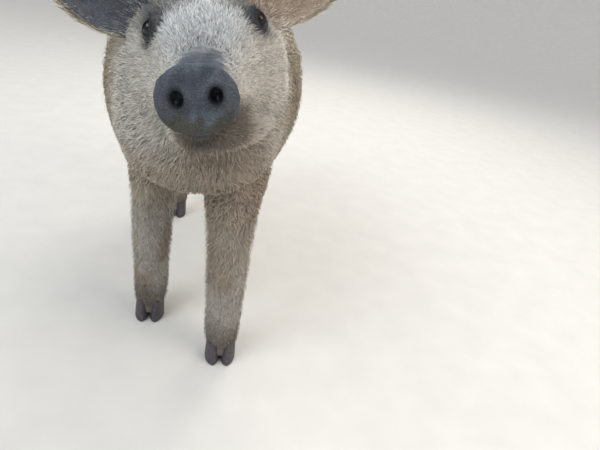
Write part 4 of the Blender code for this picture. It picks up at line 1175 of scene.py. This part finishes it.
# Face: the hair is shortest behind the snout and by the eyes, and longest on the cheeks.
def growFace():
    def density(p):
        y = toHead(p)[:, 1]
        furry = (1 - 0.90 * smooth(bareShare(p), 0.45, 1.0)) * (1 - smooth(pitShare(p), 0.0, 0.1))
        thick = (1.5 - 0.6 * smooth(y, 0.06, 0.15)) * smooth(y, 0.012, 0.022)
        return furry * thick * (behindHead(p) < 0.012) * (1 - 0.92 * (eyeOpen(p) < 1.0))

    roots, normals = scatter(*onSkin, faceLook["count"] * coatShare, density)
    n, bare = len(roots), bareShare(roots)
    y, z = toHead(roots)[:, 1], toHead(roots)[:, 2]
    reach = 0.0040 + 0.0050 * smooth(y, 0.04, 0.12) + 0.0080 * smooth(y, 0.14, 0.21) + 0.004 * smooth(-z, 0.0, 0.05)
    reach *= (1 - 0.45 * eyeShare(roots)) * (1 - 0.5 * bare)
    length, width = reach * chance.uniform(0.75, 1.25, n), chance.uniform(0.00055, 0.00095, n)
    lift = chance.uniform(0.22, 0.50, n) * (1 + 0.25 * patches(roots, 0.016, 61))
    colours = hairColours(roots, (0.0022 + 0.040 * bare * (1 - bare))[:, None], 0.11, 0.52)
    growOn(roots, normals, dict(faceLook, length=length, width=width, lift=lift), colours)


# Colours are looked up a little way off each root, so that two markings meet in mixed hairs.
def hairColours(roots, spread, darkShare, darkness):
    colours = coatColour(roots + chance.normal(0, spread, roots.shape))
    colours *= (1 + 0.10 * patches(roots, 0.018, 51))[:, None]
    colours[chance.random(len(roots)) < darkShare] *= darkness
    return colours


# 1 on the legs and 0 on the body, with a soft, uneven border where the two kinds of hair mix.
def legShare(points):
    return 1 - smooth(points[:, 2] + 0.010 * patches(points, 0.03, 71), 0.204, 0.246)


# Trunk and neck: a tuft's length is the coat's height there over its lift, times the look's own share.
def growCoat(look, density, lengthShare, widthRange, liftRange):
    roots, normals = scatter(*onSkin, look["count"] * coatShare, density)
    tall = coatHeight(roots)
    lift = chance.uniform(*liftRange, len(roots))
    length = np.maximum(0.0062, tall * lengthShare) / lift * chance.uniform(0.78, 1.04, len(roots))
    length = length * (1 + 0.14 * patches(roots, 0.024, 62))
    look = dict(look, length=length, width=chance.uniform(*widthRange, len(roots)), lift=lift)
    growOn(roots, normals, look, hairColours(roots, 0.004, 0.08, 0.6))


# Legs: the hair grows longer upwards, and thickest in a ring over the claws.
def growLegs():
    def density(p):
        coronet = np.exp(-(((p[:, 2] - 0.035) / 0.006) ** 2))
        return legShare(p) * smooth(p[:, 2], 0.018, 0.028) * (1 + 0.5 * (p[:, 1] < 0.15) + 1.5 * coronet)

    roots, normals = scatter(*onSkin, legLook["count"] * coatShare, density)
    n = len(roots)
    reach = 0.0045 + 0.0035 * smooth(roots[:, 2], 0.024, 0.034) + 0.005 * smooth(roots[:, 2], 0.05, 0.22)
    length, width = reach * chance.uniform(0.7, 1.2, n), chance.uniform(0.0007, 0.0013, n)
    look = dict(legLook, length=length, width=width, lift=chance.uniform(0.25, 0.50, n))
    growOn(roots, normals, look, hairColours(roots, 0.004, 0.10, 0.55))


# Short hair from just behind the face, thinning out over the shoulders.
def neckDensity(p):
    behind = behindHead(p)
    onNeck = (behind >= -0.004) * (behind < 0.24) * (1 - 0.9 * smooth(behind, 0.06, 0.20))
    return onNeck * (1 - legShare(p))


# Wool from the shoulders back to the rump.
def woolDensity(p):
    return smooth(behindHead(p), 0.01, 0.17) * (1 - legShare(p)) * ~isTail(p)


growFace()
growCoat(foreLook, neckDensity, 0.95, (0.0011, 0.0022), (0.42, 0.76))
growCoat(woolLook, woolDensity, 0.92, (0.0032, 0.0056), (0.52, 0.80))
growLegs()


# Hair of the ears: short and thin inside, thicker on the back, and a pale fringe along the rim.
earHair = {
    "name": "ear_hair", "slot": "ear", "stations": 2, "flat": 0.6, "turns": 0.3, "wave": 0.06, "sunk": 0.0006,
    "rootShade": 0.9, "tipShade": 1.18, "tones": (0.80, 1.22), "inside": 1300, "back": 2300, "rim": 2300, "tip": 160,
}


# Zone 0 is the inside, 1 the back and 2 the rim, whose last hairs stand at the tip.
def growEar(side):
    inside, back, rim = (earHair[zone] for zone in ("inside", "back", "rim"))
    s = [chance.uniform(0.05, 0.97, inside), chance.uniform(0.10, 0.98, back), chance.uniform(0.12, 1.0, rim)]
    t = [chance.uniform(-0.95, 0.95, inside + back), chance.choice([-1.0, 1.0], rim) * chance.uniform(0.96, 1.0, rim)]
    s, t, zone = np.concatenate(s), np.concatenate(t), np.repeat([0, 1, 2], [inside, back, rim])
    atTip = np.arange(len(s)) >= len(s) - earHair["tip"]
    s, t = np.where(atTip, 0.995, s), np.where(atTip, chance.uniform(-1, 1, len(s)), t)
    keep = chance.random(len(s)) < coatShare
    s, t, zone = s[keep], t[keep], zone[keep]
    n = len(s)
    isInside, isBack, isRim = ((zone == k)[:, None] for k in range(3))
    middle, hollow, axis, wide = earSurface(side, s, t)
    facing = np.where(isInside, 1.0, -1.0)
    roots = middle + hollow * (facing * ~isRim) * (earThickness(s, t) / 2)[:, None]
    tip = smooth(s, 0.93, 1.0)[:, None]
    normals = np.where(isRim, unit(wide * t[:, None] + axis * 1.5 * tip - hollow * 0.2), hollow * facing)
    lies = axis + wide * (0.5 * t)[:, None] + chance.normal(0, 0.18, (n, 3))
    length = np.choose(zone, [0.0055, 0.0110, 0.0115]) * chance.uniform(0.6, 1.3, n)
    length = length * (1 + 0.4 * (1 - smooth(s, 0.1, 0.4)))
    nearRim = 0.85 * smooth(np.abs(t), 0.72, 0.98) + 0.75 * (1 - smooth(s + 0.10 * np.abs(t), 0.14, 0.42))
    # Inside hairs take their ear's inside tint, which on the left ear carries painted sunlight
    inner = mix(tint(earShape["inside"][side]) * 1.15, tint("muzzle"), nearRim)
    fringe = mix(tint("woolPale") * 1.05, tint("earBack"), (chance.random(n) < 0.42) * 0.85)
    colours = np.where(isInside, inner, np.where(isBack, tint("earBack"), fringe))
    colours = colours * (1 + 0.30 * patches(roots, 0.014, 52))[:, None]
    width, lift = chance.uniform(0.0006, 0.0011, n), chance.uniform(0.22, 0.45, n)
    look = dict(earHair, name="ear_hair_" + side, length=length, width=width, lift=lift)
    tuftMeshes(roots, normals, lies, look, colours, np.full(n, 6 if side == "left" else 7))


for side in ("left", "right"):
    growEar(side)

# Tail: bent locks along its length and a tassel at its end.
tailHair = {
    "name": "tail_hair", "slot": "coat", "stations": 4, "flat": 0.7, "turns": 0.8, "wave": 0.10, "sunk": 0.0010,
    "rootShade": 0.5, "tipShade": 1.1, "tones": (0.75, 1.2), "count": 1700,
}


# Roots lie on the tube of the tail, and towards its end the locks hang down into the tassel.
def growTail():
    n = int(tailHair["count"] * coatShare)
    share = chance.uniform(0.20, 1.0, n) ** 0.8
    rows = through(tailRows, share)
    ahead = unit(through(tailRows, np.minimum(1, share + 0.01))[:, :3] - through(tailRows, share - 0.01)[:, :3])
    spin = unit(np.cross(ahead, chance.normal(size=(n, 3))))
    roots = rows[:, :3] + spin * (rows[:, 3] - skinLook["tailInset"] - 0.0004)[:, None]
    tassel = smooth(share, 0.72, 0.95)
    down = mix(ahead, np.array([0.0, -0.1, -1.0]), tassel * 0.8)
    length, width = (0.014 + 0.022 * tassel) * chance.uniform(0.7, 1.15, n), chance.uniform(0.0010, 0.0019, n)
    lift = np.where(tassel > 0.4, 0.20, 0.46) * chance.uniform(0.6, 1.3, n)
    look = dict(tailHair, length=length, width=width, lift=lift)
    tuftMeshes(roots, spin, down, look, coatColour(roots), np.full(n, 8))


growTail()

# Lashes: stiff dark hairs, paler at their tips, along the upper rim of each lid.
lashLook = {
    "name": "lashes", "slot": "face", "stations": 3, "flat": 0.8, "turns": 0.0, "wave": 0.0, "sunk": 0.0003,
    "rootShade": 0.8, "tipShade": 1.3, "tones": (0.8, 1.2), "count": 36, "wide": 0.00042,
}


# Roots lie just outside the almond opening, on the lid, and the lashes fan out to both corners.
def growLashes():
    roots, normals, lies = [], [], []
    for centre, corner, up, out in eyes.values():
        turn = chance.uniform(0.25, math.pi - 0.25, lashLook["count"])
        angle = (almond(turn) + 0.0006) / eyeShape["radius"]
        spot = np.stack([np.sin(angle) * np.cos(turn), np.sin(angle) * np.sin(turn), np.cos(angle)], -1)
        spot = spot @ np.array([corner, up, out])
        roots.append(centre + spot * (eyeShape["radius"] + lidLook["thick"]))
        normals.append(spot)
        lies.append(np.tile(up, (len(turn), 1)) + (np.cos(turn) * 0.8)[:, None] * corner - out * 0.2)
    roots, normals, lies = np.vstack(roots), unit(np.vstack(normals)), np.vstack(lies)
    n = len(roots)
    length, lift = chance.uniform(0.005, 0.009, n), chance.uniform(0.62, 0.80, n)
    look = dict(lashLook, length=length, width=np.full(n, lashLook["wide"]), lift=lift)
    tuftMeshes(roots, normals, lies, look, np.tile(tint("eyeRim") * 1.2, (n, 1)), kindOf(roots))


growLashes()

# Hair of the lids: the shortest of the coat, dark at the rim and paler outwards, running back over the lid.
lidHair = {
    "name": "lid_hair", "slot": "face", "stations": 2, "flat": 0.6, "turns": 0.2, "wave": 0.05, "sunk": 0.0003,
    "rootShade": 0.8, "tipShade": 1.15, "tones": (0.7, 1.3), "count": 900, "opening": (0.0092, 0.0064),
}


# The hair starts outside the lid's opening and points back, up above the eye and down below it.
def growLid(side):
    def density(p):
        a, b, c = fromEye(p, eyes[side])
        return (c > 0.001) * smooth(ellipse(a, b, *lidHair["opening"]), 1.10, 1.35)

    roots, normals = scatter(*lids[side], lidHair["count"] * coatShare, density)
    n, (_, corner, up, _) = len(roots), eyes[side]
    a, b, _ = fromEye(roots, eyes[side])
    ring = ellipse(a, b, *lidHair["opening"])
    lies = b[:, None] * up * 60 - corner + chance.normal(0, 0.25, (n, 3))
    length = 0.0022 + 0.0020 * smooth(ring, 1.2, 1.8) * chance.uniform(0.7, 1.3, n)
    width, lift = chance.uniform(0.00040, 0.00065, n), chance.uniform(0.18, 0.40, n)
    look = dict(lidHair, name="lid_hair_" + side, length=length, width=width, lift=lift)
    paler = smooth(ring + chance.normal(0, 0.2, n), 1.25, 1.75)
    colours = mix(tint("eyeRim") * 1.3, tint("temple"), paler)
    tuftMeshes(roots, normals, lies, look, colours, kindOf(roots))


for side in ("left", "right"):
    growLid(side)

# Bristles: long stiff hairs, far apart, on the muzzle, the chin, the cheeks and over the eyes.
bristleLook = {
    "name": "bristles", "slot": "face", "stations": 3, "flat": 0.9, "turns": 0.0, "wave": 0.0, "sunk": 0.0006,
    "rootShade": 0.9, "tipShade": 1.1, "tones": (0.6, 1.3), "count": 520,
}


# Densest under the muzzle and on the chin, and none on the snout or in the eyes.
def growBristles():
    def density(p):
        x, y, z = toHead(p).T
        onFace = (behindHead(p) < -0.02) * (y > 0.022) * (bareShare(p) < 0.2) * (eyeOpen(p) > 1.3)
        return onFace * (0.15 + smooth(-z, 0.0, 0.03) * (1 - smooth(y, 0.05, 0.12)))

    roots, normals = scatter(*onSkin, bristleLook["count"], density)
    n = len(roots)
    length, width = chance.uniform(0.009, 0.020, n), chance.uniform(0.0003, 0.0005, n)
    look = dict(bristleLook, length=length, width=width, lift=chance.uniform(0.45, 0.8, n))
    pale = chance.random(n) < 0.5 - 0.4 * chinShare(roots)
    growOn(roots, normals, look, np.where(pale[:, None], tint("woolPale"), tint("chin")))


growBristles()
place(skin, "coat", *fleshNodes)


# The floor, the lights and the camera. A lamp has its place, power, size and colour.
stageLook = {
    "floor": (0.70, 0.69, 0.66), "sky": (0.96, 0.97, 1.0), "skyStrength": 0.85, "flat": 5.0, "bend": 4.0, "rise": 2.0,
    "aim": (0, -0.1, 0.3),
    "lamps": {
        "left": ((-1.5, -1.3, 1.9), 29.5, 1.5, (0.87, 0.94, 1.0)),
        "right": ((1.6, -1.0, 1.5), 19.0, 1.4, (1.0, 0.905, 0.80)),
        "back": ((0.7, 1.6, 2.0), 26.0, 1.2, (1.0, 0.95, 0.87)),
    },
}


# A round floor, flat to its bend, where a quarter circle turns it up into a wall all round.
def backdrop():
    flat, bend, around = stageLook["flat"], stageLook["bend"], 72
    up = np.linspace(0, math.pi / 2, 13)
    reach = np.concatenate([np.linspace(0.5, flat, 8)[:-1], flat + bend * np.sin(up), [flat + bend]])
    rise = np.concatenate([np.zeros(7), bend * (1 - np.cos(up)), [bend + stageLook["rise"]]])
    turn = np.arange(around) * 2 * math.pi / around
    height = np.repeat(rise[:, None], around, 1)
    points = np.stack([np.outer(reach, np.cos(turn)), np.outer(reach, np.sin(turn)), height], -1).reshape(-1, 3)
    return points, ringFaces(len(reach), around)[:, ::-1].tolist() + [list(range(around))]


# The backdrop, a soft sky all round, and square lamps turned to face the pig.
def makeStage():
    looks = plainMaterial("pale_floor", stageLook["floor"], 0.85, 18.0, 0.03, 0.0005)
    addObject("floor", *backdrop(), looks)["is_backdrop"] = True
    world = bpy.data.worlds.new("soft_sky")
    world.use_nodes = True
    sky = world.node_tree.nodes["Background"].inputs
    sky["Color"].default_value = (*stageLook["sky"], 1)
    sky["Strength"].default_value = stageLook["skyStrength"]
    bpy.context.scene.world = world
    for name, (where, power, size, colour) in stageLook["lamps"].items():
        lamp = bpy.data.lights.new(name, "AREA")
        lamp.energy, lamp.size, lamp.color = power, size, colour
        obj = bpy.data.objects.new(name, lamp)
        bpy.context.scene.collection.objects.link(obj)
        obj.location = where
        obj.rotation_mode = "QUATERNION"
        obj.rotation_quaternion = (Vector(stageLook["aim"]) - Vector(where)).to_track_quat("-Z", "Y")


# The camera's yaw to the right, pitch down and roll, in degrees, and its focal length in frame widths.
cameraLook = {
    "at": (0.0227, -0.5204, 0.4733), "yaw": 11.84, "pitch": 26.81, "roll": 10.3, "focal": 465.6 / 600, "sensor": 36.0,
}


# Its forward direction has the sine and cosine of the yaw, lowered by the pitch; right and up are then rolled.
def makeCamera():
    yaw, pitch, roll = (math.radians(cameraLook[k]) for k in ("yaw", "pitch", "roll"))
    forward = Vector((math.sin(yaw) * math.cos(pitch), math.cos(yaw) * math.cos(pitch), -math.sin(pitch)))
    right = Vector((math.cos(yaw), -math.sin(yaw), 0))
    up = right.cross(forward)
    turnedRight = right * math.cos(roll) + up * math.sin(roll)
    turnedUp = -right * math.sin(roll) + up * math.cos(roll)
    camera = bpy.data.objects.new("camera", bpy.data.cameras.new("camera"))
    bpy.context.scene.collection.objects.link(camera)
    turned = Matrix((turnedRight, turnedUp, -forward)).transposed().to_4x4()
    camera.matrix_world = Matrix.Translation(Vector(cameraLook["at"]) + Vector(shift)) @ turned
    camera.data.sensor_width = cameraLook["sensor"]
    camera.data.lens = cameraLook["sensor"] * cameraLook["focal"]
    camera.data.clip_start, camera.data.clip_end = 0.01, 50.0
    bpy.context.scene.camera = camera


makeStage()
makeCamera()
scene = bpy.context.scene
scene.view_settings.view_transform = "Standard"
scene.view_settings.look = "None"
scene.cycles.max_bounces = 6
scene.cycles.diffuse_bounces = 3
scene.cycles.use_denoising = True
low, high = (list(corner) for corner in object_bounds())
